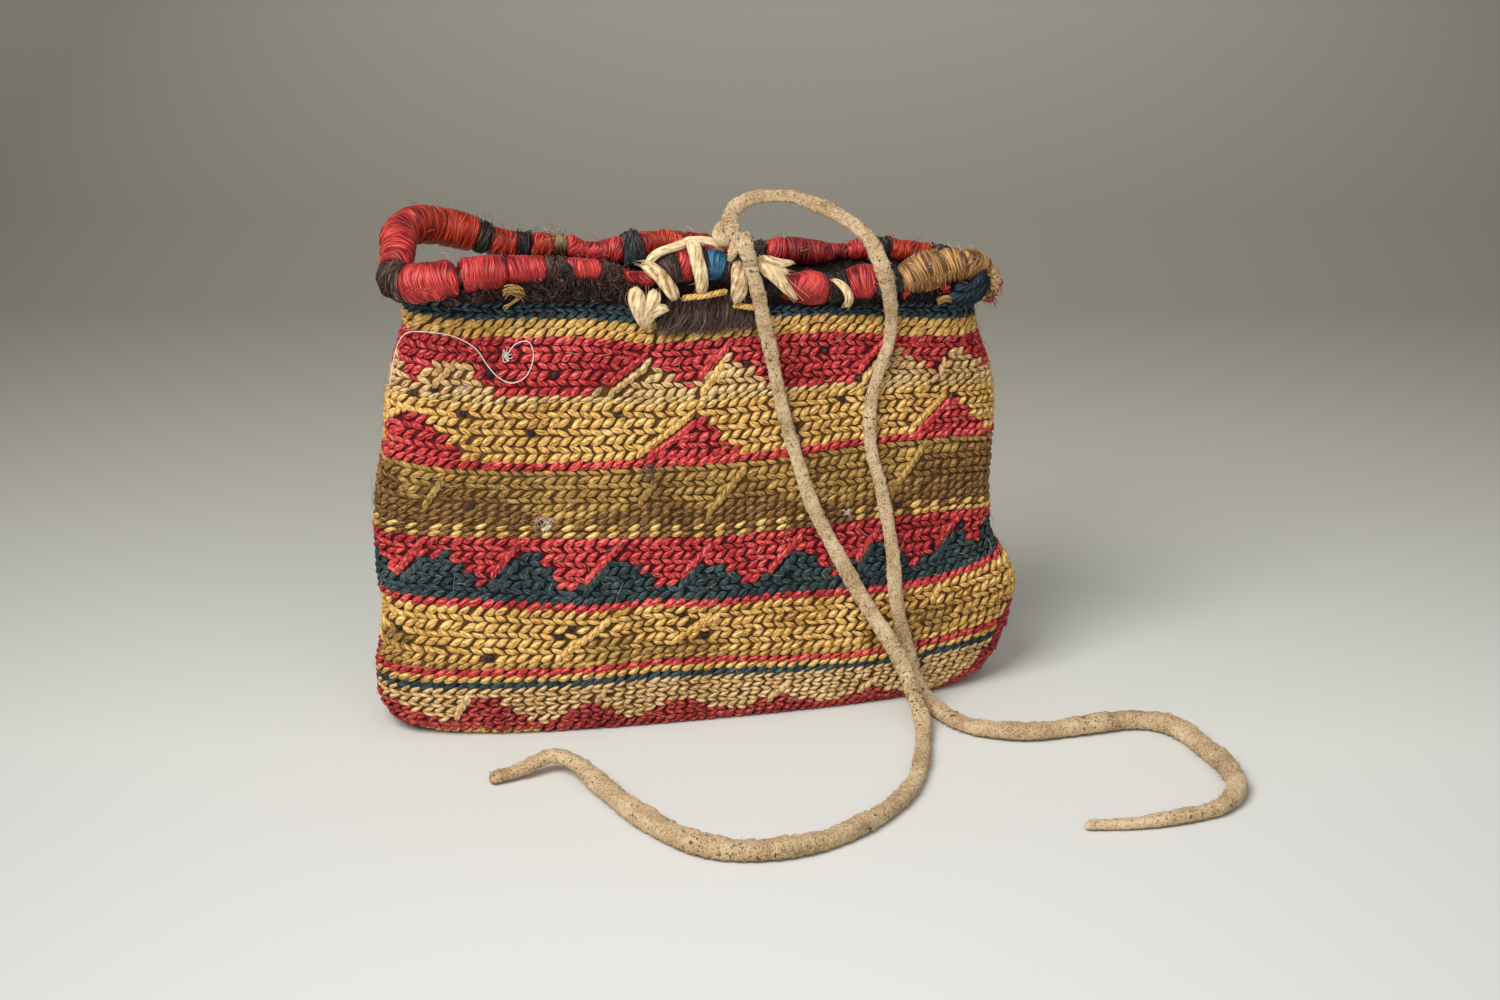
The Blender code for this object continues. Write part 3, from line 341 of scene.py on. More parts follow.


# Dark, middle and light tone of each yarn. The materials below tie the dark and light ends to the
# relief of plies, fibres and threads, so they also serve as painted shade and painted highlight
TONES = {
    "gold": ((128, 87, 35), (204, 158, 82), (237, 202, 132)),
    "tan": ((130, 98, 56), (198, 160, 106), (226, 196, 146)),
    "pale": ((140, 108, 60), (198, 168, 112), (226, 202, 152)),
    "dash": ((136, 98, 46), (206, 164, 90), (236, 206, 140)),
    "olive": ((88, 62, 28), (156, 120, 60), (192, 156, 90)),
    "ochre": ((98, 68, 30), (168, 130, 66), (204, 168, 98)),
    "umber": ((56, 35, 18), (118, 82, 42), (160, 122, 70)),
    "crimson": ((96, 16, 22), (180, 45, 48), (226, 108, 100)),
    "bright": ((98, 17, 23), (176, 47, 50), (222, 108, 100)),
    "wine": ((80, 15, 18), (152, 44, 42), (198, 94, 84)),
    "teal": ((20, 29, 30), (44, 58, 60), (80, 96, 97)),
    "blue_teal": ((20, 32, 36), (51, 69, 75), (92, 110, 114)),
    "deep_teal": ((4, 9, 12), (11, 24, 32), (38, 64, 78)),
    # speck: the dark yarn of the holes, painted shade
    "speck": ((22, 15, 18), (44, 32, 34), (72, 56, 54)),
    "dark_crimson": ((44, 6, 10), (104, 14, 20), (170, 56, 52)),
    "orange": ((78, 13, 8), (142, 27, 13), (214, 80, 46)),
    "brown": ((20, 12, 11), (56, 38, 34), (108, 84, 74)),
    "black": ((9, 8, 8), (27, 23, 23), (60, 52, 50)),
    "blue": ((10, 34, 52), (28, 80, 112), (74, 130, 152)),
    "camel": ((64, 40, 16), (131, 87, 43), (190, 146, 90)),
    "moss": ((36, 26, 14), (90, 66, 34), (148, 118, 66)),
    "cotton": ((146, 112, 72), (214, 186, 142), (242, 220, 180)),
    "wool": ((38, 26, 24), (90, 66, 59), (146, 120, 108)),
    "grey_wool": ((84, 70, 64), (132, 116, 104), (172, 156, 140)),
    # wound_crimson: its light tone is the painted highlight of the wound threads, its dark tone the
    # painted shade between them
    "wound_crimson": ((66, 5, 10), (134, 12, 19), (222, 76, 68)),
}


# Yarns of the weave: material, tone and, where they differ, twist, contrast, sheen, roughness
YARNS = {
    "gold": ("yarn_gold", "gold"),
    "tan": ("yarn_tan", "tan"),
    "pale": ("yarn_pale", "pale"),
    "dash": ("yarn_dash", "dash"),
    "olive": ("yarn_olive_stitch", "olive"),
    "ochre": ("yarn_ochre", "ochre"),
    "umber": ("yarn_umber", "umber"),
    "crimson": ("yarn_crimson_stitch", "crimson", 0.9, 1.1),
    "bright": ("yarn_bright_crimson", "bright", 0.9, 1.2),
    "wine": ("yarn_wine", "wine", 0.9, 1.1),
    "teal": ("yarn_teal_stitch", "teal", 0.6, 0.9, 0.05, 0.95),
    "blue_teal": ("yarn_blue_teal", "blue_teal", 0.6, 1.0, 0.05, 0.95),
    "speck": ("yarn_hole_shade", "speck"),
}


def shades(tone):
    return tuple(linear(*shade) for shade in TONES[tone])


class Nodes:
    """Short calls for building a material's node tree."""

    def __init__(self, name):
        self.material = bpy.data.materials.new(name)
        self.material.use_nodes = True
        self.tree = self.material.node_tree
        self.shader = self.tree.nodes["Principled BSDF"]

    def put(self, socket, value):
        if isinstance(value, bpy.types.NodeSocket):
            self.tree.links.new(value, socket)
        else:
            socket.default_value = value

    def math(self, operation, first, second=0.0, clamp=False):
        node = self.tree.nodes.new("ShaderNodeMath")
        node.operation = operation
        node.use_clamp = clamp
        self.put(node.inputs[0], first)
        self.put(node.inputs[1], second)
        return node.outputs[0]

    def plus(self, first, second):
        return self.math("ADD", first, second)

    def minus(self, first, second):
        return self.math("SUBTRACT", first, second)

    def times(self, first, second):
        return self.math("MULTIPLY", first, second)

    def spread(self, value, middle, factor, clamp=False):
        return self.math("MULTIPLY", self.minus(value, middle), factor, clamp)

    def total(self, *terms):
        """One half and the sum of terms, each a value, its middle and a factor."""
        value = self.spread(*terms[0])
        for term in terms[1:]:
            value = self.plus(value, self.spread(*term))
        return self.math("ADD", value, 0.5, True)

    def uv(self, layer):
        node = self.tree.nodes.new("ShaderNodeUVMap")
        node.uv_map = layer
        split = self.tree.nodes.new("ShaderNodeSeparateXYZ")
        self.tree.links.new(node.outputs[0], split.inputs[0])
        return split.outputs[0], split.outputs[1]

    def place(self, stretch=(1, 1, 1)):
        """Place on the object itself, stretched by the given factors."""
        node = self.tree.nodes.new("ShaderNodeTexCoord")
        scale = self.tree.nodes.new("ShaderNodeVectorMath")
        scale.operation = "MULTIPLY"
        scale.inputs[1].default_value = stretch
        self.tree.links.new(node.outputs["Object"], scale.inputs[0])
        return scale.outputs[0]

    def join(self, x, y, z=0.0):
        node = self.tree.nodes.new("ShaderNodeCombineXYZ")
        self.put(node.inputs[0], x)
        self.put(node.inputs[1], y)
        self.put(node.inputs[2], z)
        return node.outputs[0]

    def noise(self, vector, scale, detail=2.0, roughness=0.5):
        node = self.tree.nodes.new("ShaderNodeTexNoise")
        self.tree.links.new(vector, node.inputs["Vector"])
        node.inputs["Scale"].default_value = scale
        node.inputs["Detail"].default_value = detail
        node.inputs["Roughness"].default_value = roughness
        return node.outputs["Fac"]

    def ramp(self, value, stops):
        node = self.tree.nodes.new("ShaderNodeValToRGB")
        ramp = node.color_ramp
        while len(ramp.elements) < len(stops):
            ramp.elements.new(0.5)
        for element, (place, colour) in zip(ramp.elements, stops):
            element.position = place
            element.color = colour
        self.tree.links.new(value, node.inputs[0])
        return node.outputs[0]

    def blend(self, factor, first, second, kind="MIX"):
        node = self.tree.nodes.new("ShaderNodeMix")
        node.data_type = "RGBA"
        node.blend_type = kind
        self.put(node.inputs[0], factor)
        self.put(node.inputs[6], first)
        self.put(node.inputs[7], second)
        return node.outputs[2]

    def bump(self, height, strength, distance):
        node = self.tree.nodes.new("ShaderNodeBump")
        node.inputs["Strength"].default_value = strength
        node.inputs["Distance"].default_value = distance
        self.tree.links.new(height, node.inputs["Height"])
        self.tree.links.new(node.outputs[0], self.shader.inputs["Normal"])

    def finish(self, colour, roughness, sheen=0.0, sheen_tint=None, specular=0.3):
        self.put(self.shader.inputs["Base Color"], colour)
        self.shader.inputs["Roughness"].default_value = roughness
        self.shader.inputs["Specular IOR Level"].default_value = specular
        self.shader.inputs["Sheen Weight"].default_value = sheen
        self.shader.inputs["Sheen Roughness"].default_value = 0.5
        if sheen_tint is not None:
            self.shader.inputs["Sheen Tint"].default_value = sheen_tint
        return self.material


def yarn_material(name, tone, twist=0.9, contrast=1.0, sheen=0.1, roughness=0.75, plies=3):
    """Spun yarn: plies that turn along it, fine fibres, and tone that drifts from stitch to
    stitch. Colour is lighter on the raised plies and fibres and darker in the grooves, as the bump
    is: painted highlight and painted shade. The first map runs along and across the yarn and the
    second differs by stitch."""
    dark, middle, light = shades(tone)
    nodes = Nodes(name)
    along, across = nodes.uv("ply")
    chance, _ = nodes.uv("stitch")
    turn = nodes.plus(nodes.times(across, plies), nodes.times(along, twist))
    ply = nodes.math("ABSOLUTE", nodes.math("SINE", nodes.times(turn, math.pi)))
    ply = nodes.math("POWER", ply, 0.6)
    apart = nodes.plus(nodes.times(along, 1.4), nodes.times(chance, 37.0))
    fibre = nodes.noise(nodes.join(apart, nodes.times(turn, 0.85)), 2.2, 2.0, 0.6)
    drift = nodes.noise(nodes.place(), 55.0)
    mottle = nodes.noise(nodes.place(), 420.0, 1.0)
    # The fibre and ply terms make the colour lighter on raised fibres and ply ridges and darker in the
    # grooves between them: painted highlight and painted shade
    value = nodes.total(
        (fibre, 0.5, 2.3 * contrast), (ply, 0.72, 0.3 * contrast), (drift, 0.5, 0.8),
        (mottle, 0.5, 0.5), (chance, 0.5, 0.22),
    )
    colour = nodes.ramp(value, [(0.05, dark), (0.5, middle), (0.95, light)])
    nodes.bump(nodes.plus(ply, nodes.times(fibre, 1.2)), 0.6, 0.00022)
    return nodes.finish(colour, roughness, sheen, middle, 0.25)


def wound_material(tone, contrast=1.0, roughness=0.5):
    """Yarn wound tight: each turn has a tone of its own, with finer threads and a soft shine.
    The raised threads of the bump are also lighter in colour and the grooves darker: painted
    highlight and painted shade.
    """
    name = "wound_" + tone
    dark, middle, light = shades(name if name in TONES else tone)
    nodes = Nodes(name)
    around, turn = nodes.uv("ply")
    chance, _ = nodes.uv("stitch")
    thread = nodes.noise(nodes.join(nodes.times(around, 0.6), nodes.times(turn, 5.6)), 1.0, 2.0, 0.65)
    clump = nodes.noise(nodes.join(nodes.times(around, 0.4), nodes.times(turn, 2.6)), 1.0, 1.0)
    drift = nodes.noise(nodes.place(), 170.0, 1.0)
    # The thread term lightens the raised threads and darkens the grooves: painted highlight and painted
    # shade
    value = nodes.total(
        (thread, 0.5, 3.8 * contrast), (clump, 0.5, 0.8 * contrast), (chance, 0.5, 0.08 * contrast),
        (drift, 0.5, 1.0),
    )
    colour = nodes.ramp(value, [(0.0, dark), (0.48, middle), (0.95, light)])
    nodes.bump(thread, 0.7, 0.00025)
    return nodes.finish(colour, roughness, 0.02, middle, 0.32)


def hair_material(tone):
    """Loose fibres: each has a tone of its own."""
    dark, middle, light = shades(tone)
    nodes = Nodes("loose_" + tone)
    chance, _ = nodes.uv("stitch")
    mottle = nodes.noise(nodes.place(), 300.0, 1.0)
    value = nodes.plus(nodes.times(chance, 0.7), nodes.times(mottle, 0.35))
    colour = nodes.ramp(value, [(0.1, dark), (0.6, middle), (0.97, light)])
    return nodes.finish(colour, 0.7, 0.1, middle, 0.3)


def suede_material():
    """Pale tanned hide: a granular nap, darker pores and fine dark specks in patches."""
    nodes = Nodes("suede")
    place = nodes.place()
    cloud = nodes.noise(place, 130.0, 2.0, 0.6)
    grain = nodes.noise(place, 2000.0, 3.0, 0.75)
    value = nodes.total((cloud, 0.5, 1.0), (grain, 0.5, 2.5))
    dark, middle, light = linear(130, 102, 68), linear(186, 160, 124), linear(219, 198, 164)
    colour = nodes.ramp(value, [(0.1, dark), (0.5, middle), (0.9, light)])
    pore = nodes.spread(nodes.noise(place, 2000.0, 1.0, 0.5), 0.56, 7.0, True)
    colour = nodes.blend(nodes.times(pore, 0.35), colour, linear(126, 98, 66))
    patch = nodes.spread(nodes.noise(place, 60.0, 2.0, 0.5), 0.42, 5.0, True)
    speck = nodes.spread(nodes.noise(place, 1050.0, 2.0, 0.6), 0.595, 16.0, True)
    speck = nodes.times(speck, nodes.plus(nodes.times(patch, 0.65), 0.35))
    colour = nodes.blend(speck, colour, linear(58, 40, 25))
    nodes.bump(nodes.minus(grain, nodes.times(pore, 0.5)), 0.7, 0.00022)
    return nodes.finish(colour, 0.92, 0.2, linear(214, 192, 152), 0.15)


def plain_cloth(name, colours, scale, roughness=0.95):
    """A surface of even mottle, from its darkest to its lightest colour."""
    nodes = Nodes(name)
    value = nodes.noise(nodes.place(), scale, 3.0, 0.6)
    fine = nodes.noise(nodes.place((1, 1, 2.5)), scale * 6, 2.0, 0.6)
    value = nodes.plus(nodes.times(value, 0.5), nodes.times(fine, 0.5))
    places = np.linspace(0.3, 0.7, len(colours))
    stops = [(float(place), linear(*shade)) for place, shade in zip(places, colours)]
    nodes.bump(fine, 0.5, 0.0004)
    return nodes.finish(nodes.ramp(value, stops), roughness, 0.1, linear(*colours[-1]), 0.2)


# Meshes from rows of points

def mesh_piece(name, points, faces, materials, uv=None, chance=None, slots=None):
    """An object from points in millimetres and four-cornered faces."""
    points = np.asarray(points).reshape(-1, 3)
    mesh = bpy.data.meshes.new(name)
    mesh.vertices.add(len(points))
    mesh.vertices.foreach_set("co", (points * MM).astype(np.float32).ravel())
    mesh.loops.add(faces.size)
    mesh.loops.foreach_set("vertex_index", faces.astype(np.int32).ravel())
    mesh.polygons.add(len(faces))
    mesh.polygons.foreach_set("loop_start", np.arange(0, faces.size, 4, dtype=np.int32))
    mesh.polygons.foreach_set("use_smooth", np.ones(len(faces), bool))
    if slots is not None:
        mesh.polygons.foreach_set("material_index", slots.astype(np.int32))
    for layer, values in (("ply", uv), ("stitch", chance)):
        if values is not None:
            found = mesh.uv_layers.new(name=layer)
            values = values.reshape(-1, 2)[faces.ravel()]
            found.data.foreach_set("uv", values.astype(np.float32).ravel())
    mesh.update(calc_edges=True)
    for material in materials:
        mesh.materials.append(material)
    item = bpy.data.objects.new(name, mesh)
    bpy.context.scene.collection.objects.link(item)
    return item


def grid_faces(count, rings, sides, closed):
    """Faces of many equal sleeves of rings, each ring with a number of points."""
    ring = np.arange(rings - 1)[:, None]
    side = np.arange(sides if closed else sides - 1)[None, :]
    following = (side + 1) % sides
    quads = np.stack(
        [
            ring * sides + side,
            ring * sides + following,
            (ring + 1) * sides + following,
            (ring + 1) * sides + side,
        ],
        -1,
    ).reshape(-1, 4)
    starts = (np.arange(count) * rings * sides)[:, None, None]
    return (quads[None] + starts).reshape(-1, 4)


def unit(vectors):
    return vectors / np.maximum(np.linalg.norm(vectors, axis=-1, keepdims=True), 1e-9)


def turns(sides):
    """Angles of the points of a ring."""
    return np.arange(sides) / sides * 2 * np.pi


def gone_along(path):
    """The length of a path up to each of its points."""
    return np.concatenate([[0], np.linalg.norm(np.diff(path, axis=0), axis=1).cumsum()])


def reading(table, x):
    """What a table of places and values says at places, also between its own."""
    return np.interp(x, *np.array(table, float).T)


def amount(full):
    return full


def smooth_route(points, count, closed=False, start=0.0, end=None):
    """Points on a smooth curve through a route's own points."""
    points = np.asarray(points, float)
    last = len(points) if closed else len(points) - 1
    places = np.linspace(start, last if end is None else end, count)
    whole = np.floor(places).astype(int)
    if not closed:
        whole = np.clip(whole, 0, len(points) - 2)
    t = (places - whole)[:, None]
    knots = []
    for step in (-1, 0, 1, 2):
        index = whole + step
        index = index % len(points) if closed else np.clip(index, 0, len(points) - 1)
        knots.append(points[index])
    a, b, c, d = knots
    return 0.5 * (
        2 * b + (c - a) * t + (2 * a - 5 * b + 4 * c - d) * t**2 + (3 * b - a - 3 * c + d) * t**3
    )


def tubes(name, paths, radii, materials, sides=3, slots=None):
    """Many thin sleeves at once: paths are (count, rings, 3) and radii (count, rings)."""
    paths = np.asarray(paths, float)
    count, rings = paths.shape[:2]
    radii = np.broadcast_to(radii, (count, rings))
    along = unit(np.gradient(paths, axis=1))
    whole = unit(paths[:, -1] - paths[:, 0] + 1e-6)
    lean = np.where(np.abs(whole[:, 2:3]) < 0.8, [[0.0, 0.0, 1.0]], [[1.0, 0.0, 0.0]])
    lean = np.repeat(lean[:, None, :], rings, 1)
    first = unit(lean - along * np.sum(lean * along, -1, keepdims=True))
    second = np.cross(along, first)
    angle = turns(sides)[:, None]
    ring = np.cos(angle) * first[:, :, None] + np.sin(angle) * second[:, :, None]
    points = paths[:, :, None] + ring * radii[:, :, None, None]
    uv = np.zeros((count, rings, sides, 2))
    length = np.linalg.norm(np.diff(paths, axis=1), axis=-1).cumsum(1)
    uv[:, 1:, :, 0] = length[:, :, None] / 3.0
    uv[..., 1] = np.arange(sides) / sides
    chance = np.zeros((count, rings, sides, 2))
    chance[...] = RANDOM.random((count, 1, 1, 2))
    if slots is not None:
        slots = np.repeat(slots, (rings - 1) * sides)
    return mesh_piece(name, points, grid_faces(count, rings, sides, True), materials, uv, chance, slots)


def path_frame(path):
    """Side and up directions on a path, carried on without a twist."""
    along = unit(np.gradient(path, axis=0))
    side = np.zeros_like(path)
    start = np.cross(along[0], [0.0, 0.0, 1.0])
    if np.linalg.norm(start) < 0.2:
        start = np.cross(along[0], [1.0, 0.0, 0.0])
    side[0] = unit(start)
    for k in range(1, len(path)):
        side[k] = unit(side[k - 1] - along[k] * np.dot(side[k - 1], along[k]))
    return side, np.cross(side, along)


def plied(path, radius, plies, turn_length, share=0.5):
    """Paths of the plies of a twisted yarn that follows a path of the given radii."""
    side, up = path_frame(path)
    gone = gone_along(path)
    found = []
    for k in range(plies):
        angle = 2 * np.pi * (gone / turn_length + k / plies)
        offset = np.cos(angle)[:, None] * side + np.sin(angle)[:, None] * up
        found.append(path + offset * (radius * share)[:, None])
    return np.array(found)


def dress(item, slot, *nodes):
    """Every piece rides on the part's one body and stands for the solids that it hides."""
    if nodes:
        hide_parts(*nodes)
    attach(item, "root")
    return item


def sheet(name, points, material, slot, *nodes, closed=False, flip=False, uv=None, chance=None):
    """A piece from one grid of points, open or closed round each row."""
    faces = grid_faces(1, *points.shape[:2], closed)
    if flip:
        faces = faces[:, ::-1]
    dress(mesh_piece(name, points, faces, [material], uv, chance), slot, *nodes)


def hairs(name, paths, sizes, tone, slot, *nodes):
    """Loose fibres of one tone."""
    dress(tubes(name, paths, sizes, [HAIR[tone]]), slot, *nodes)


# The form of the weave

def row_height(row, x, front):
    """Height of a row of weave at places across the bag."""
    share = np.clip((x - STATIONS[0]) / (STATIONS[-1] - STATIONS[0]), 0, 1)
    lines = []
    for k, (_, heights) in enumerate(ROW_LINES):
        ahead = np.interp(x, STATIONS, heights)
        behind = heights[0] + (heights[-1] - heights[0]) * share
        if k == 0:
            behind = np.interp(x, STATIONS, BACK_TOP)
        lines.append(np.where(front, ahead, behind))
    numbers = [number for number, _ in ROW_LINES]
    height = lines[0]
    for k in range(len(numbers) - 1):
        part = np.clip((row - numbers[k]) / (numbers[k + 1] - numbers[k]), 0, 1)
        height = height + (lines[k + 1] - lines[k]) * part
    return height


def edges(z):
    """Left and right edge at a height. Towards the foot they draw in to the flat base."""
    heights, left, right = np.array(OUTLINE, float).T
    share = (np.clip(CORNER_HEIGHT - z, 0, CORNER_HEIGHT) / CORNER_HEIGHT) ** 3
    centre = (left[0] + right[0]) / 2
    return (
        np.interp(z, heights, left) + (centre - BASE_WIDTH / 2 - left[0]) * share,
        np.interp(z, heights, right) + (centre + BASE_WIDTH / 2 - right[0]) * share,
    )


def half_depth(z):
    return reading(DEPTHS, z)


def section(angle):
    """Share of the width and of the depth at an angle round the bag."""
    cosine, sine = np.cos(angle), np.sin(angle)
    power = 2 / SECTION_POWER
    return np.sign(cosine) * np.abs(cosine) ** power, np.sign(sine) * np.abs(sine) ** power


def column_table():
    """Angles round the bag at even counts of stitches, from the left end along the front."""
    angle = np.pi + np.linspace(0, 2 * np.pi, 4097)
    across, deep = section(angle)
    across, deep = across * COUNT_WIDTH, deep * COUNT_DEPTH
    step = np.hypot(np.diff(across), np.diff(deep))
    middle = (across[1:] + across[:-1]) / 2
    pitch = np.interp(middle, [-COUNT_WIDTH, COUNT_WIDTH], [PITCH_LEFT, PITCH_RIGHT])
    count = np.concatenate([[0], np.cumsum(step / pitch)])
    return count / count[-1] * COLUMNS, angle


COLUMN_COUNTS, COLUMN_ANGLES = column_table()


def weave_point(row, column, out=0.0):
    """Points on the weave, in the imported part's frame, and whether they are on the front."""
    row, column = np.broadcast_arrays(np.asarray(row, float), np.asarray(column, float))
    angle = np.interp(column % COLUMNS, COLUMN_COUNTS, COLUMN_ANGLES)
    across, deep = section(angle)
    front = deep < 0
    x = across * HALF_WIDTH
    for _ in range(4):
        z = row_height(row, x, front)
        left, right = edges(z)
        x = (left + right) / 2 + across * ((right - left) / 2 + out)
    y = deep * (half_depth(z) + out)
    return np.stack([x, y, z], -1) + CENTRING, front


def weave_frame(row, column):
    """Place, right, up and outward directions on the weave, and whether it is the front."""
    place, front = weave_point(row, column)
    right = unit(weave_point(row, column + NEARBY)[0] - weave_point(row, column - NEARBY)[0])
    high = np.clip(np.asarray(row) - NEARBY, FIRST_ROW, LAST_ROW)
    low = np.clip(np.asarray(row) + NEARBY, FIRST_ROW, LAST_ROW)
    up = unit(weave_point(high, column)[0] - weave_point(low, column)[0])
    out = unit(np.cross(right, up))
    return place, right, np.cross(out, right), out, front


def column_at(x, front):
    """The column at a place across the bag, measured on its middle row."""
    first = 0.5 if front else COLUMNS / 2 + 0.5
    columns = np.linspace(first, first + COLUMNS / 2 - 1, 600)
    places = weave_point(30.0, columns)[0][:, 0] - CENTRING[0]
    order = np.argsort(places)
    return float(np.interp(x, places[order], columns[order]))


def stitch_colours(row, x, front, chance, count):
    """Yarn of each stitch. The back carries the same bands, turned end for end."""
    x = np.where(front, x, BACK_TURN - x)
    foot, hill, earth, peak, base = (
        reading(table, x)
        for table in (CRIMSON_FOOT, CRIMSON_HILLS, BROWN_HILLS, TEAL_PEAKS, CRIMSON_BASE)
    )

    def band(first, last):
        return (row > first) & (row < last)

    dashes = band(30.5, 32.5)
    pale = (count % 2 == 0) | ((x > 46) & (row > 31.5))
    colour = np.full(row.shape, "gold", dtype=object)
    for where, yarn in (
        (row < 2.5, "blue_teal"),
        (band(4.5, 12.7) & (row < foot), "crimson"),
        (band(4.5, 12.7) & (row >= foot), "tan"),
        (band(12.5, 13.3), "pale"),
        (band(13.3, 21.5) & (row > hill), "crimson"),
        (band(21.5, 22.5), "crimson"),
        (band(22.5, 30.5), "olive"),
        (band(22.5, 30.5) & (chance > 0.93), "ochre"),
        (band(22.5, 30.5) & ((row > earth) | (row > 29.4)), "umber"),
        (dashes, "umber"),
        (dashes & pale & (chance > 0.06), "dash"),
        (band(32.5, 41.5), "crimson"),
        (band(32.5, 41.5) & (row > peak), "teal"),
        (band(41.5, 42.5), "crimson"),
    ):
        colour[where] = yarn
    for low, high, start, end in OLIVE_PATCHES:
        inside = (x > low) & (x < high) & band(start, end)
        colour[inside] = np.where(chance[inside] < 0.6, "olive", "ochre")
    gold_edge = (row > 61.4) & (x > -68) & (x < -42)
    for where, yarn in (
        (band(50.6, 51.5) & (x < 50), "ochre"),
        (band(51.5, 52.5), "crimson"),
        (band(52.5, 53.5), "gold"),
        (band(53.5, 54.5), "teal"),
        (row > 54.5, "tan"),
        ((row > 61.5) & (x < -42), "gold"),
        ((row > 54.5) & (row > base) & ~gold_edge, "wine"),
        ((row > 49.5) & (row > base) & (x > 64), "wine"),
    ):
        colour[where] = yarn
    return colour


STITCH_KEYS = (
    "place", "right", "up", "out", "slant", "length", "width", "height", "lift", "chance", "colour",
)


# A stitch: how thin its ends are, how it swells and dives along its length, how far its ends
# sink, its bend, how far its sides go round, in degrees, and how low it may lie
LEAF_TIP = 0.06
LEAF_SWELL = 1.9
LEAF_FULLNESS = 0.75
LEAF_DIVE = 2.2
LEAF_SINK = 0.5
LEAF_BEND = 0.03
LEAF_ROUND = 18
LOWEST_STITCH = 0.1


def leaves(name, stitches, pick, rings, sides):
    """Leaf-shaped stitches: short yarns that dive under their neighbours at both ends."""
    place, right, up, out, slant, length, width, height, lift, chance, colour = (
        np.asarray(stitches[key])[pick] for key in STITCH_KEYS
    )
    place, right, up, out = (value[:, None, None] for value in (place, right, up, out))
    slant, length, width, height, lift = (
        value[:, None, None] for value in (slant, length, width, height, lift)
    )
    count = len(place)
    t = np.linspace(-1, 1, rings)[None, :, None]
    swell = LEAF_TIP + (1 - LEAF_TIP) * np.maximum(1 - np.abs(t) ** LEAF_SWELL, 0) ** LEAF_FULLNESS
    angle = np.radians(np.linspace(-LEAF_ROUND, 180 + LEAF_ROUND, sides))
    across = np.cos(angle) * (swell * width / 2) + LEAF_BEND * np.sin(np.pi * t) * length
    proud = np.sin(angle) * (swell * height) + lift - np.abs(t) ** LEAF_DIVE * height * LEAF_SINK
    forward = t * length / 2
    sideways = forward * np.cos(slant) - across * np.sin(slant)
    upward = forward * np.sin(slant) + across * np.cos(slant)
    points = place + right * sideways[..., None] + up * upward[..., None] + out * proud[..., None]
    points[..., 2] = np.maximum(points[..., 2], LOWEST_STITCH)
    uv = np.zeros((count, rings, sides, 2))
    uv[..., 0] = (t + 1) / 2
    uv[..., 1] = np.linspace(1, 0, sides)
    random = np.zeros((count, rings, sides, 2))
    random[..., 0] = chance[:, None, None]
    random[..., 1] = RANDOM.random((count, 1, 1))
    tones = list(WEAVE_YARNS)
    slots = np.array([tones.index(tone) for tone in colour])
    slots = np.repeat(slots, (rings - 1) * (sides - 1))
    faces = grid_faces(count, rings, sides, False)[:, ::-1]
    return mesh_piece(name, points, faces, list(WEAVE_YARNS.values()), uv, random, slots)


def gather_stitches():
    """Row, column and kind of every stitch of the weave."""
    count = np.arange(COLUMNS)
    found = []
    for first, last, lines, slant, turned, long, fat in BANDS:
        tall = (last - first) / lines
        for k in range(lines):
            sign = slant * (-1) ** k if turned else slant
            column = count + 0.5 + (0.12 if sign > 0 else 0.0)
            row = first + (k + 0.5) * tall
            kind = [np.full(COLUMNS, float(value)) for value in (row, sign, long, fat, tall)]
            found.append([count, column, *kind])
    return (np.concatenate(values) for values in zip(*found))


# Pieces of the weave: name, first and last row
WEAVE_PIECES = [
    ("weave_top", -1, 12.6), ("weave_gold_upper", 12.6, 22.5), ("weave_dull_band", 22.5, 32.5),
    ("weave_zigzag", 32.5, 42.5), ("weave_gold_lower", 42.5, 54.5), ("weave_base", 54.5, 63),
]

# Slant against the stitch's own cell, to the right and left, and the heights of stitches
LEAN_RIGHT = 0.9
LEAN_LEFT = -0.65
STITCH_HEIGHT = 0.7
FUZZY_HEIGHT = 0.58

# Rows that stand out as lines, the reach of a hole across and in rows, and the room that is
# kept about a steep stitch
RAISED_ROWS = [3, 4, 22, 42, 52, 53]
HOLE_REACH = (1.5, 0.62)
STEM_ROOM = 1.15


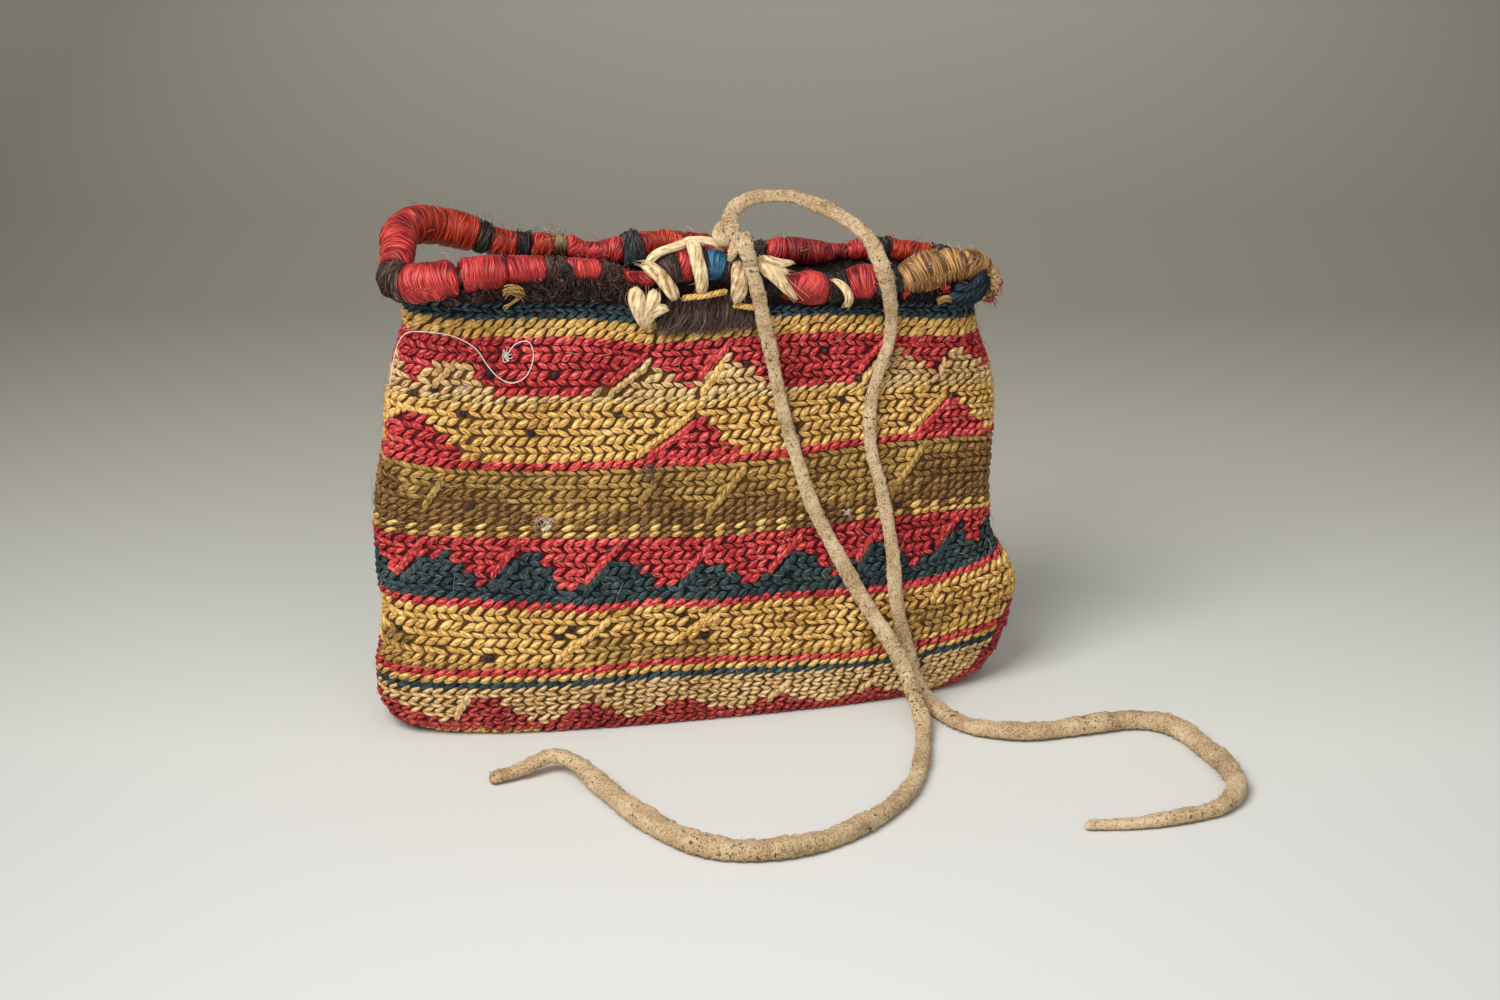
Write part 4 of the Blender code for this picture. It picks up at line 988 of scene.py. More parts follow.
def build_weave(stems):
    """The weave as separate pieces by height, one stitch at a time, but not under the stems."""
    count, column, line, sign, long, fat, tall = gather_stitches()
    total = len(line)
    jitter = RANDOM.normal(0, 1, (6, total)).clip(-2.2, 2.2)
    row = line + jitter[0] * 0.07 * tall
    column = column + jitter[1] * 0.08
    place, right, up, out, front = weave_frame(row, column)
    x = place[:, 0] - CENTRING[0]
    rise = weave_point(row - tall / 2, column)[0] - weave_point(row + tall / 2, column)[0]
    pitch = weave_point(row, column + 0.5)[0] - weave_point(row, column - 0.5)[0]
    rise, pitch = (np.linalg.norm(value, axis=1) for value in (rise, pitch))
    slant = np.arctan(rise / pitch * np.where(sign > 0, LEAN_RIGHT, LEAN_LEFT))
    dashes = (line > 30.5) & (line < 32.5)
    slant = np.where(dashes, slant * 0.7, slant)
    length = pitch / np.cos(slant) * long * (1 + 0.07 * jitter[2])
    width = pitch * np.abs(np.sin(slant)) * fat * (1 + 0.09 * jitter[3])
    width = np.where(dashes, width * 1.25, width)
    chance = RANDOM.random(total)
    colour = stitch_colours(line, x, front, chance, count)
    fuzzy = np.isin(colour, ["teal", "blue_teal"])
    raised = np.isin(np.floor(line + 0.5), RAISED_ROWS)
    lift = -0.08 + 0.05 * jitter[0] + np.where(raised, 0.12, 0)
    # A hole's stitch is made short, low and dark: painted shade of the hole
    for hole_x, hole_row in HOLES:
        for side, spot in ((front, hole_x), (~front, BACK_TURN - hole_x)):
            far = np.hypot((x - spot) / HOLE_REACH[0], (line - hole_row) / HOLE_REACH[1])
            nearest = int(np.argmin(np.where(side, far, np.inf)))
            colour[nearest] = "speck"
            length[nearest] *= 0.62
            width[nearest] *= 0.95
            lift[nearest] -= 0.05
    stitches = {
        "place": place, "right": right, "up": up, "out": out, "length": length, "lift": lift,
        "slant": slant + np.radians(5) * jitter[5],
        "width": np.where(fuzzy, width * 1.08, width),
        "height": np.where(fuzzy, FUZZY_HEIGHT, STITCH_HEIGHT) + 0.08 * jitter[4],
        "chance": chance, "colour": colour,
    }
    gap = np.linalg.norm(place[:, None] - stems[None], axis=-1).min(1)
    kept = (gap > STEM_ROOM) | (colour == "speck")
    for name, first, last in WEAVE_PIECES:
        for side, mark, rings, sides in ((front, "", 7, 6), (~front, "_behind", 6, 5)):
            pick = side & kept & (line > first) & (line < last)
            nodes = ["woven_bag"] if name + mark == "weave_top" else []
            dress(leaves(name + mark, stitches, pick, rings, sides), "weave", *nodes)


def build_stems():
    """The steep stitches that climb the flanks of the woven hills, on both faces."""
    found, colours = [], []
    for colour, x0, row0, x1, row1 in STEMS:
        for front in (True, False):
            xs = (x0, x1) if front else (BACK_TURN - x0, BACK_TURN - x1)
            first, last = (column_at(x, front) for x in xs)
            ends = weave_point([row0, row1], [first, last])[0]
            rise, run = ends[1, 2] - ends[0, 2], abs(ends[1, 0] - ends[0, 0])
            slant = math.atan2(rise, run) + math.radians(STEM_TWIST)
            count = max(round(math.hypot(rise, run) / STEM_STEP), 2)
            for share in (np.arange(count) + 0.5) / count:
                found.append((row0 + (row1 - row0) * share, first + (last - first) * share, slant))
                colours.append(colour)
    row, column, slant = np.array(found).T
    count = len(row)
    place, right, up, out, _ = weave_frame(row, column)
    stitches = {
        "place": place, "right": right, "up": up, "out": out,
        "slant": slant + np.radians(RANDOM.normal(0, 4, count)),
        "length": RANDOM.uniform(3.2, 3.8, count), "width": RANDOM.uniform(1.5, 1.8, count),
        "height": np.full(count, 0.66), "lift": np.full(count, 0.0),
        "chance": RANDOM.random(count), "colour": np.array(colours, dtype=object),
    }
    dress(leaves("weave_stems", stitches, np.ones(count, bool), 8, 6), "weave")
    return place


# The ground behind the stitches: name and colours. The colours are dark copies of the yarns in
# front, painted shade in the gaps between stitches
PAINTED_SHADE_GROUNDS = [
    ("ground_shade_brown", [(52, 34, 19), (88, 61, 34), (120, 87, 48)]),
    ("ground_shade_crimson", [(48, 11, 16), (82, 20, 26), (112, 36, 40)]),
    ("ground_shade_teal", [(11, 17, 19), (19, 29, 33), (32, 46, 50)]),
]
GROUND_KINDS = {"crimson": 1, "wine": 1, "teal": 2, "blue_teal": 2}
GROUND_DEPTH = -0.4
INNER_DEPTH = -2.2

# The lip from outside to inside: height above the first row and distance outward
LIP = [(0, 0.1), (0.475, -0.5), (0.57, -1.2), (0.19, -1.9), (-0.57, -2.2)]


def build_ground():
    """The ground behind the stitches, dark as painted shade, the inside of the bag, its lip and
    its underside.
    """
    rows, columns = np.linspace(FIRST_ROW, LAST_ROW, 110), np.arange(float(COLUMNS))
    outer = weave_point(rows[:, None], columns, GROUND_DEPTH)[0]
    row = np.repeat((rows[1:] + rows[:-1]) / 2, COLUMNS)
    spots, front = weave_point(row, np.tile(columns + 0.5, len(rows) - 1))
    same = np.full(len(row), 0.5)
    yarn = stitch_colours(row, spots[:, 0] - CENTRING[0], front, same, np.zeros(len(row)))
    kinds = np.array([GROUND_KINDS.get(tone, 0) for tone in yarn])
    # The ground's dark colours are painted shade between the stitches
    grounds = [plain_cloth(name, colours, 900) for name, colours in PAINTED_SHADE_GROUNDS]
    faces = grid_faces(1, len(rows), COLUMNS, True)[:, ::-1]
    dress(mesh_piece("weave_ground", outer, faces, grounds, slots=kinds), "weave")

    rows, count = np.linspace(FIRST_ROW, 60.5, 90)[:, None], np.arange(144)
    inner = weave_point(rows, count * COLUMNS / 144, INNER_DEPTH)[0]
    braid = 0.22 * np.cos(rows * 2 * np.pi / 2.6) + 0.15 * np.cos(count * np.pi / 2 + rows)
    flat = inner - np.array([0.0, CENTRING[1], 0.0])
    flat[..., 2] = 0
    inner = inner - unit(flat) * braid[..., None]
    inner[..., 2] = np.maximum(inner[..., 2], 1.6)
    floor = inner[-1:] * 0.02 + inner[-1].mean(0) * 0.98
    lining = plain_cloth("inside_weave", [(70, 44, 26), (132, 96, 54), (168, 130, 80)], 260)
    sheet("weave_inside", np.concatenate([inner, floor]), lining, "weave", closed=True)

    count = np.arange(256)
    lip = []
    for rise, outward in LIP:
        ring = weave_point(FIRST_ROW, count * COLUMNS / 256, outward)[0]
        ring[:, 2] += rise + 0.15 * np.cos(count * np.pi)
        lip.append(ring)
    yarn = plain_cloth("lip_yarn", [(14, 22, 28), (26, 42, 52), (48, 70, 80)], 700)
    sheet("weave_lip", np.array(lip), yarn, "weave", closed=True)

    shares, ring = np.linspace(1, 0.02, 20)[:, None], weave_point(LAST_ROW - 0.1, columns)[0]
    under = ring.mean(0) + (ring - ring.mean(0)) * shares[..., None]
    under[..., 2] = 0.25 + 0.2 * np.cos(shares * 50) * np.cos(columns * np.pi / 2)
    yarn = plain_cloth("underside_weave", [(80, 18, 24), (140, 40, 44), (180, 72, 68)], 420)
    sheet("weave_underside", under, yarn, "weave", closed=True, flip=True)


# The rim

def rim_path(start, end, spacing):
    """Points along the rim at even steps, its radius there, and the length gone."""
    rough = smooth_route(RIM, max(int((end - start) * 60), 12), True, start, end)
    gone = gone_along(rough[:, :3])
    spots = np.linspace(0, gone[-1], max(int(gone[-1] / spacing), 6))
    fine = np.stack([np.interp(spots, gone, rough[:, k]) for k in range(4)], 1)
    return fine[:, :3] + CENTRING, fine[:, 3], spots


def rim_axes(along):
    """Outward and upward directions across the rim."""
    out = unit(np.cross(along, [0.0, 0.0, 1.0]))
    return out, np.cross(out, along)


def rim_spot(place, turn, away):
    """A point beside the rim. Turn is 0 at its outer side and 90 degrees at its top."""
    around = smooth_route(RIM, 3, True, place - 0.05, place + 0.05)
    reach = around[1, 3] - WINDING_EASE + away
    out, up = rim_axes(unit(around[2, :3] - around[0, :3]))
    angle = math.radians(turn)
    return around[1, :3] + (math.cos(angle) * out + math.sin(angle) * up) * reach + CENTRING


# How deep the grooves between turns are, in shaggy wool and in smooth yarn
SHAGGY = ("brown", "black", "camel", "teal")
SHAGGY_GROOVE = 0.26
SMOOTH_GROOVE = 0.13


def build_winding(name, start, end, tone, lean, turn):
    """Yarn wound on the rim: ridges for the turns, which lean, wander and differ in width."""
    path, radius, gone = rim_path(start, end, 0.135)
    out, up = rim_axes(unit(np.gradient(path, axis=0)))
    angle, along, numbers = turns(26), gone[:, None], np.arange(400)
    steps = np.cumsum(RANDOM.uniform(0.6, 1.5, 400)) * turn
    tilt = lean * np.cos(angle - 0.9) + 0.3 * np.cos(2 * angle + RANDOM.uniform(0, 6))
    sway = 0.35 * np.sin(along * 1.1 + 2 * angle + RANDOM.uniform(0, 6))
    phase = np.interp(along + tilt + sway + turn * (angle / (2 * np.pi)) + 30.0, steps, numbers)
    ridge = np.abs(np.cos(np.pi * phase)) ** 0.8
    proud = np.interp(phase, numbers, RANDOM.uniform(-1, 1, 400))
    wander = np.sin(along * 1.3 + RANDOM.uniform(0, 6))
    wander = wander * np.sin(angle + RANDOM.uniform(0, 6))
    tuck = np.maximum(0, 1 - np.minimum(gone, gone[-1] - gone)) ** 2 * 0.7
    groove = SHAGGY_GROOVE if tone in SHAGGY else SMOOTH_GROOVE
    reach = (radius - WINDING_EASE - tuck)[:, None] + (ridge - 0.75) * groove
    reach = reach + 0.12 * wander + 0.1 * proud
    ring = np.cos(angle)[:, None] * out[:, None] + np.sin(angle)[:, None] * up[:, None]
    points = path[:, None] + ring * reach[..., None]
    uv = np.stack([np.broadcast_to(angle / (2 * np.pi) * 7, phase.shape), phase * 0.5], -1)
    chance = np.stack([(np.floor(phase + 0.5) * 0.381) % 1, phase * 0], -1)
    sheet(
        "wound_" + name, points, WIND_YARNS[tone], WIND_SLOTS[tone], "wrap_" + name,
        closed=True, uv=uv, chance=chance,
    )


def build_core():
    """The cord inside the windings, which shows in the gaps between them."""
    path, radius, _ = rim_path(0, len(RIM), 1.3)
    core = np.maximum(radius - 1.9, 0.7)
    paths = plied(path, core, 3, 9.0, 0.42)
    dress(tubes("rim_cord", paths, core * 0.6, [HAIR["brown"]], 8), "core", "rim_core")


def strands(start, end, count, spread, sag, wave, rings=9):
    """Many loose fibres between two places that sag away from the straight line."""
    start, end = np.asarray(start, float), np.asarray(end, float)
    t = np.linspace(0, 1, rings)[None, :, None]
    first = start + RANDOM.normal(0, 1, (count, 1, 3)) * spread
    last = end + RANDOM.normal(0, 1, (count, 1, 3)) * spread
    bow = np.asarray(sag, float) * (1 + RANDOM.normal(0, 0.35, (count, 1, 1)))
    path = first * (1 - t) + last * t + bow * np.sin(np.pi * t)
    phase = RANDOM.uniform(0, 2 * np.pi, (count, 1, 3))
    return path + wave * np.sin(t * RANDOM.uniform(4, 11, (count, 1, 3)) + phase) * np.sin(np.pi * t)


def bundle(route, count, spread, rings=12):
    """Loose fibres that run together along one route."""
    path = smooth_route(route, rings)
    t = np.linspace(0, 1, rings)[None, :, None]
    offset = RANDOM.normal(0, 1, (count, 1, 3)) * spread
    sway = RANDOM.normal(0, 1, (count, 1, 3)) * spread * 0.6
    return path[None] + offset + sway * np.sin(np.pi * (t * 1.7 + RANDOM.random((count, 1, 1))))


def curls(centre, size, count, rings=16):
    """A small tangle of fibres, thin at its edge."""
    t = np.linspace(0, 1, rings)[None, :, None]
    speed = RANDOM.uniform(2, 8, (count, 1, 3))
    phase = RANDOM.uniform(0, 2 * np.pi, (count, 1, 3))
    reach = RANDOM.uniform(0.15, 0.75, (count, 1, 3))
    middle = RANDOM.normal(0, 0.3, (count, 1, 3))
    return np.asarray(centre) + (middle + np.sin(speed * t + phase) * reach) * np.asarray(size)


def wall_at(x, z, side):
    """How far forward or back the weave is, at a place across and a height."""
    left, right = edges(z)
    across = np.clip(np.abs(x - (left + right) / 2) / ((right - left) / 2), 0, 1)
    return side * half_depth(z) * (1 - across**SECTION_POWER) ** (1 / SECTION_POWER) + CENTRING[1]


def seam_backing(name, start, end, side, material, node):
    """The dark mass of wool behind the loose fibres, from the rim down to the weave."""
    path, radius, _ = rim_path(start, end, 0.6)
    x, share = path[:, :1] - CENTRING[0], np.linspace(0, 1, 8)
    edge = row_height(FIRST_ROW, x, side < 0)
    z = (path[:, 2] - radius * 0.4)[:, None] * (1 - share) + (edge - 1.0) * share
    y = path[:, 1:2] * (1 - share) + (wall_at(x, edge, side) - side * 0.9) * share
    y = y + side * 0.3 * np.sin(x * 2.3 + 5 * share) * np.sin(np.pi * share)
    points = np.stack([np.broadcast_to(path[:, :1], z.shape), y, z], -1)
    sheet(name, points, material, "yarn_brown", node)


# Tufts between the rim and the weave: name, from and to across, how many, side, colour, fibres
# in each, how wavy they are, slot and node
SEAM_TUFTS = [
    ("front_seam_tufts", -60.0, -19.5, 20, -1, "brown", 34, 1.0, "yarn_brown"),
    ("right_seam_tufts", 36.0, 62.0, 9, -1, "black", 20, 0.6, "yarn_teal", "seam_front_right"),
    ("back_seam_tufts", -44.0, 62.0, 38, 1, "brown", 14, 0.5, "yarn_brown"),
]


def build_seams():
    """Shaggy wool between the rim and the weave, in curly tufts, and the mass behind them."""
    dark = plain_cloth("seam_wool", [(14, 9, 9), (34, 23, 21), (58, 43, 38)], 900)
    seam_backing("front_seam_mass", 4.2, 34.4, -1, dark, "seam_front_left")
    seam_backing("back_seam_mass", 36.8, 56.2, 1, dark, "seam_back")
    for name, first, last, number, side, tone, count, wave, slot, *nodes in SEAM_TUFTS:
        line = sorted(point for point in RIM if point[1] * side > 0 and -69 < point[0] < 67)
        across, deep, high, radius = np.array(line).T
        paths = []
        for x in np.linspace(first, last, number) + RANDOM.uniform(-0.7, 0.7, number):
            edge = float(row_height(FIRST_ROW, x, side < 0))
            low, back = np.interp(x, across, high - radius), np.interp(x, across, deep)
            top = (x - 1.6, back + CENTRING[1] + side * 2.4, low + 1.5)
            foot = (x + 1.5, float(wall_at(x, edge, side)) + side * 1.4, edge + 0.7)
            spread, sag = (1.0, 0.5, 0.55), (-0.5, side, 0.1)
            paths.append(strands(top, foot, amount(count), spread, sag, wave))
        paths = np.concatenate(paths)
        sizes = RANDOM.uniform(0.10, 0.2, (len(paths), 1)) * np.linspace(1, 0.5, 9)
        hairs(name, paths, sizes, tone, slot, *nodes)


# Small knobs of wool on and under the rim: place and size
KNOBS = [
    (-34.0, -17.4, 114.6, 1.5), (-33.8, -17.6, 112.2, 1.6), (-35.2, -17.6, 111.4, 1.5),
    (-31.4, -16.8, 108.6, 1.5), (-22.6, -16.6, 113.0, 1.4), (-22.2, -16.6, 110.8, 1.4),
    (-23.4, -16.6, 108.8, 1.4), (-37.4, -16.8, 109.0, 1.3), (-27.6, -16.4, 108.2, 1.4),
    (-41.0, -16.2, 108.4, 1.1), (-54.6, -16.4, 108.4, 1.2), (-60.6, -16.0, 108.0, 1.1),
]


def build_locks():
    """Shaggy locks over the windings of dark wool, and knobs of it."""
    paths = []
    for _, start, end, tone, _, _ in WINDINGS:
        if tone not in ("brown", "black", "teal"):
            continue
        for _ in range(int((end - start) * amount(48))):
            place, turn = RANDOM.uniform(start, end), RANDOM.uniform(-80, 140)
            sweep, drift = RANDOM.uniform(40, 110), RANDOM.normal(0, 0.3)
            lift = RANDOM.uniform(0.1, 0.75)
            lock = []
            for share in np.linspace(0, 1, 6):
                spot = np.clip(place + drift * share, start, end)
                away = lift * math.sin(math.pi * share) - 0.2
                lock.append(rim_spot(spot, turn + sweep * share, away))
            paths.append(lock)
    sizes = RANDOM.uniform(0.09, 0.18, (len(paths), 1)) * np.array([0.5, 1, 1, 1, 0.8, 0.4])
    hairs("wool_locks", np.array(paths), sizes, "brown", "yarn_brown")
    paths = [curls(place, (size, 0.6 * size, size), 28, 9) for *place, size in KNOBS]
    paths = np.concatenate(paths) + CENTRING
    hairs("wool_knobs", paths, RANDOM.uniform(0.1, 0.18, (len(paths), 1)), "brown", "yarn_brown")


def fibre_band(name, route, *nodes):
    """A soft flat bundle of cotton along a route whose last value is half its width."""
    rings, sides, ridges = 40, 28, 6
    line = smooth_route(route, rings)
    path, width = line[:, :3], line[:, 3:]
    along = unit(np.gradient(path, axis=0))
    facing = np.array([0.22, -0.95, 0.2])
    up = unit(facing - along * (along @ facing)[:, None])
    side = np.cross(along, up)
    angle, gone = turns(sides), gone_along(path)[:, None]
    turn = gone * 0.45
    ridge = 1 + 0.05 * np.cos(ridges * angle + turn) + 0.04 * np.cos(2.3 * angle - turn * 1.7)
    taper = np.clip(np.minimum(gone, gone[-1] - gone) / 0.8, 0.1, 1) ** 0.5
    wide = width * ridge * taper
    points = (
        path[:, None]
        + side[:, None] * (np.cos(angle) * wide)[..., None]
        + up[:, None] * (np.sin(angle) * wide * COTTON_FLATNESS)[..., None]
    )
    uv = np.zeros((rings, sides, 2))
    uv[..., 0] = gone / 6
    uv[..., 1] = angle / (2 * np.pi) * ridges / 2 + turn / 6
    chance = np.full((rings, sides, 2), RANDOM.random())
    sheet(name, points, WIND_YARNS["cotton"], "cotton", *nodes, closed=True, uv=uv, chance=chance)


# Thickness of a bundle of cotton against its width
COTTON_FLATNESS = 0.55

# Cotton laced over the hump: piece, node that it stands for, route with half the width
LACING = [
    ("cotton_left", "lacing_strand_left", [
        (-17.2, -15.4, 114.4, 0.4), (-15.6, -16.4, 114.3, 1.3), (-13.6, -17.3, 112.9, 1.7),
        (-11.6, -17.8, 110.4, 1.7), (-9.9, -17.6, 107.9, 1.6), (-8.9, -16.6, 106.3, 1.1)]),
    ("cotton_middle", "lacing_strand_middle", [
        (-5.4, -14.2, 119.4, 1.0), (-4.7, -15.8, 118.3, 1.6), (-4.2, -17.3, 115.2, 1.7),
        (-3.4, -17.8, 111.6, 1.7), (-3.1, -17.2, 108.8, 1.5), (-3.3, -16.2, 107.0, 1.0)]),
    ("cotton_right", "lacing_strand_right", [
        (5.8, -15.6, 114.2, 1.1), (5.5, -17.0, 112.2, 1.7), (5.5, -17.7, 109.6, 2.0),
        (5.4, -17.7, 107.2, 2.0), (5.4, -17.2, 105.4, 1.5), (5.5, -16.4, 104.3, 0.7)]),
    ("cotton_arc", "lacing_strand_top", [
        (-15.6, -15.2, 114.2, 0.9), (-13.9, -14.2, 115.7, 1.1), (-11.9, -13.7, 116.8, 1.1),
        (-7.2, -13.3, 118.0, 1.0), (-4.9, -13.2, 118.8, 1.0), (-0.7, -13.3, 118.5, 0.9),
        (2.2, -13.6, 117.4, 0.8)]),
    ("cotton_fan", "lacing_fan", [
        (10.2, -15.6, 114.2, 1.0), (12.4, -16.5, 112.2, 1.9), (14.9, -17.0, 109.4, 1.6),
        (17.1, -17.1, 106.8, 1.2), (19.4, -16.6, 104.1, 0.4)]),
    ("cotton_fan_branch", None, [
        (10.4, -15.4, 114.4, 0.8), (12.6, -16.2, 113.4, 1.5), (15.5, -16.2, 112.9, 1.2),
        (19.0, -15.2, 112.7, 0.4)]),
    ("cotton_fan_web", None, [
        (11.6, -16.0, 113.2, 1.2), (14.2, -16.4, 111.6, 1.5), (16.4, -16.2, 110.9, 0.9),
        (17.8, -15.8, 110.8, 0.3)]),
    ("cotton_loop", "lacing_loop", [
        (28.1, -15.4, 108.1, 0.4), (30.2, -16.3, 106.7, 0.9), (31.5, -16.8, 104.7, 1.1),
        (31.7, -16.7, 102.8, 1.0), (31.2, -15.8, 101.2, 0.5)]),
    ("cotton_tuft_left", "lacing_tuft", [
        (-16.0, -15.6, 99.2, 0.4), (-16.9, -16.8, 102.0, 1.6), (-17.9, -17.5, 105.0, 2.1),
        (-18.4, -17.3, 107.6, 2.0), (-18.2, -16.2, 109.6, 1.2)]),
    ("cotton_tuft_right", None, [
        (-16.0, -15.8, 99.4, 0.4), (-15.5, -17.2, 102.4, 1.5), (-14.9, -17.9, 105.2, 1.7),
        (-14.4, -17.7, 107.4, 1.6), (-14.2, -16.6, 108.9, 0.9)]),
    ("cotton_tuft_end", None, [
        (-15.4, -17.6, 102.6, 1.0), (-13.9, -18.1, 104.2, 1.4), (-12.2, -17.7, 104.4, 1.1),
        (-10.9, -16.8, 103.9, 0.4)]),
]


def build_lacing():
    """Cream cotton laced over the hump and beside it, with its tuft at the left."""
    paths = []
    for name, node, route in LACING:
        fibre_band(name, route, *([node] if node else []))
        spread = np.array([0.9, 0.5, 0.5]) * max(point[3] for point in route) * 0.55
        paths.append(bundle([point[:3] for point in route], 7, spread, 10))
    hairs("cotton_stray_fibres", np.concatenate(paths), 0.06, "cotton", "cotton")


def twisted(name, radius, turn, material, slot, node, route):
    """A short length of three-ply yarn."""
    count = max(12, len(route) * 9)
    paths = plied(smooth_route(route, count), np.full(count, radius), 3, turn)
    dress(tubes(name, paths, radius * 0.6, [material], 7), slot, *([node] if node else []))


# Short twisted yarns: piece, radius, node and route
GOLD_TWISTS = [
    ("gold_twist", 0.72, "gold_rope", [
        (-7.2, -15.6, 106.0), (-4.6, -16.5, 106.4), (-2.2, -16.8, 106.6), (0.4, -16.6, 106.9),
        (2.8, -15.8, 107.0)]),
    ("gold_twist_lower", 0.7, None, [
        (4.6, -16.2, 103.8), (7.2, -16.4, 103.2), (9.6, -16.2, 102.8), (11.6, -15.8, 102.2)]),
]
TEAL_ENDS = [
    ("teal_end", 1.2, None, [
        (56.6, -14.6, 102.0), (59.6, -15.7, 101.6), (63.0, -14.8, 102.8), (65.8, -11.8, 105.2)]),
    ("teal_end_top", 1.1, None, [
        (58.2, -14.4, 104.0), (61.0, -15.4, 103.7), (63.8, -14.0, 105.2), (65.4, -11.2, 107.0)]),
    ("teal_end_foot", 1.15, None, [
        (60.4, -14.6, 100.4), (63.4, -13.8, 101.0), (66.2, -10.6, 102.8)]),
]
TAN_END = ("tan_end_loop", 1.35, None, [
    (65.6, -9.8, 106.8), (68.2, -9.2, 105.2), (69.2, -8.4, 102.6), (68.2, -7.2, 100.0),
    (66.0, -5.6, 98.6)])

# Loose gold fibres: how many, how far apart and route
GOLD_LOCKS = [
    (60, (0.2, 0.3, 0.5), [
        (-48.6, -17.0, 110.6), (-47.2, -17.8, 111.2), (-45.6, -17.9, 110.9), (-44.4, -17.3, 110.0)]),
    (14, (0.2, 0.25, 0.25), [(-45.4, -16.8, 109.4), (-46.8, -16.6, 108.0), (-48.6, -15.8, 106.6)]),
    (40, (0.25, 0.3, 0.35), [(53.8, -14.6, 100.8), (55.2, -15.4, 101.8), (56.6, -15.2, 101.2)]),
]

# Tangles of crimson fibre at the end of the rim: middle, size and how many
CRIMSON_TANGLES = [
    ((68.4, -7.2, 98.4), (2.0, 1.4, 1.8), 34),
    ((70.2, -7.4, 101.6), (1.1, 1.2, 3.0), 26),
    ((55.4, -14.8, 103.8), (1.4, 0.6, 1.1), 24),
    ((45.6, -15.2, 103.2), (1.2, 0.6, 1.2), 16),
]


def build_trim():
    """Gold yarns under the rim, and the knotted ends at its right."""
    for name, radius, node, route in GOLD_TWISTS:
        twisted(name, radius, 3.0, WEAVE_YARNS["gold"], "yarn_gold", node, route)
    paths = np.concatenate([bundle(route, count, spread) for count, spread, route in GOLD_LOCKS])
    sizes = RANDOM.uniform(0.07, 0.14, (len(paths), 1))
    hairs("gold_tuft_yarn", paths, sizes, "ochre", "yarn_gold", "gold_tuft")
    for name, radius, node, route in TEAL_ENDS:
        twisted(name, radius, 4.0, WIND_YARNS["deep_teal"], "yarn_teal", node, route)
    name, radius, node, route = TAN_END
    twisted(name, radius, 4.0, WEAVE_YARNS["tan"], "yarn_camel", node, route)
    filling = curls((66.6, -8.4, 102.4), (1.7, 1.2, 3.0), 90, 9)
    hairs("end_filling", filling, 0.16, "brown", "yarn_brown")
    paths = np.concatenate([curls(*tangle, 10) for tangle in CRIMSON_TANGLES])
    hairs("crimson_end_fibres", paths, 0.07, "crimson", "yarn_crimson")


# The wool patch: how far forward it starts, and the rows that end its fibres and its backing
PATCH_FRONT = -12.8
PATCH_ROW = 3.5
PATCH_BACKING_ROW = 3.4


def build_wool_patch():
    """Long loose wool that hangs over the top rows below the hump."""
    low, high = (Vector(corner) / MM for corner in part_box("wool_patch"))
    left, right = low.x + 0.6, high.x - 0.6
    count = amount(1300)
    x = RANDOM.uniform(left + 1.2, right, count)
    start_z = high.z + 1.8 - RANDOM.uniform(0, 6.5, count)
    y = PATCH_FRONT + CENTRING[1] - RANDOM.uniform(0.2, 2.4, count)
    length = RANDOM.uniform(3.0, 8.0, count)
    drift = RANDOM.normal(-0.12, 0.3, count) - 0.3 * np.clip((2 - x) / 14, 0, 1)
    start = np.stack([x, y, start_z], -1)
    end = start + np.stack([drift * length, -RANDOM.uniform(-0.4, 1.6, count), -length], -1)
    floor = row_height(PATCH_ROW, end[:, 0], True)
    end[:, 2] = np.maximum(end[:, 2], floor - RANDOM.uniform(-1.2, 0.5, count))
    t = np.linspace(0, 1, 6)[None, :, None]
    bow = [RANDOM.normal(0, 0.6, count), -RANDOM.uniform(0.2, 1.4, count), np.zeros(count)]
    bow = np.stack(bow, -1)[:, None]
    paths = start[:, None] * (1 - t) + end[:, None] * t + bow * np.sin(np.pi * t)
    sizes = RANDOM.uniform(0.05, 0.12, (count, 1)) * np.linspace(1, 0.35, 6)
    pale = (RANDOM.random(count) < 0.13).astype(int)
    wools = [HAIR["wool"], HAIR["grey_wool"]]
    dress(tubes("wool_patch_fibres", paths, sizes, wools, slots=pale), "wool", "wool_patch")
    u, v = np.meshgrid(np.linspace(0, 1, 24), np.linspace(0, 1, 24), indexing="ij")
    px = left - 0.8 + (right - left + 1.4) * u + 3.0 * v * (1 - u)
    foot = np.maximum(low.z + 0.4, row_height(PATCH_BACKING_ROW, px, True))
    pz = foot + (high.z - low.z) * v
    py = PATCH_FRONT - 0.6 + CENTRING[1] - 1.3 * np.sin(np.pi * u) ** 0.4 * np.sin(np.pi * v) ** 0.5
    backing = plain_cloth("wool_backing", [(22, 15, 15), (44, 33, 33), (66, 52, 50)], 900)
    sheet("wool_patch_backing", np.stack([px, py, pz], -1), backing, "wool", flip=True)


# The thong and the loose thread

# Width of each tail against the part's own, by length along it
FRONT_WIDTHS = [
    (0, 0.9), (10, 0.9), (30, 0.82), (110, 0.78), (135, 0.68), (165, 0.7), (190, 0.84), (215, 1.0),
    (250, 1.02), (280, 0.95),
]
BACK_WIDTHS = [
    (0, 0.95), (60, 0.84), (120, 0.84), (165, 0.95), (175, 1.06), (215, 1.06), (245, 0.98),
    (310, 0.9),
]

# How far each tail is eased to the right, by height. Below 0 it goes to the left.
FRONT_EASE = [(8, 0), (25, -1.0), (105, -1.0), (114, -1.5)]
BACK_EASE = [(118, 0), (123, -0.9), (128, -0.7)]

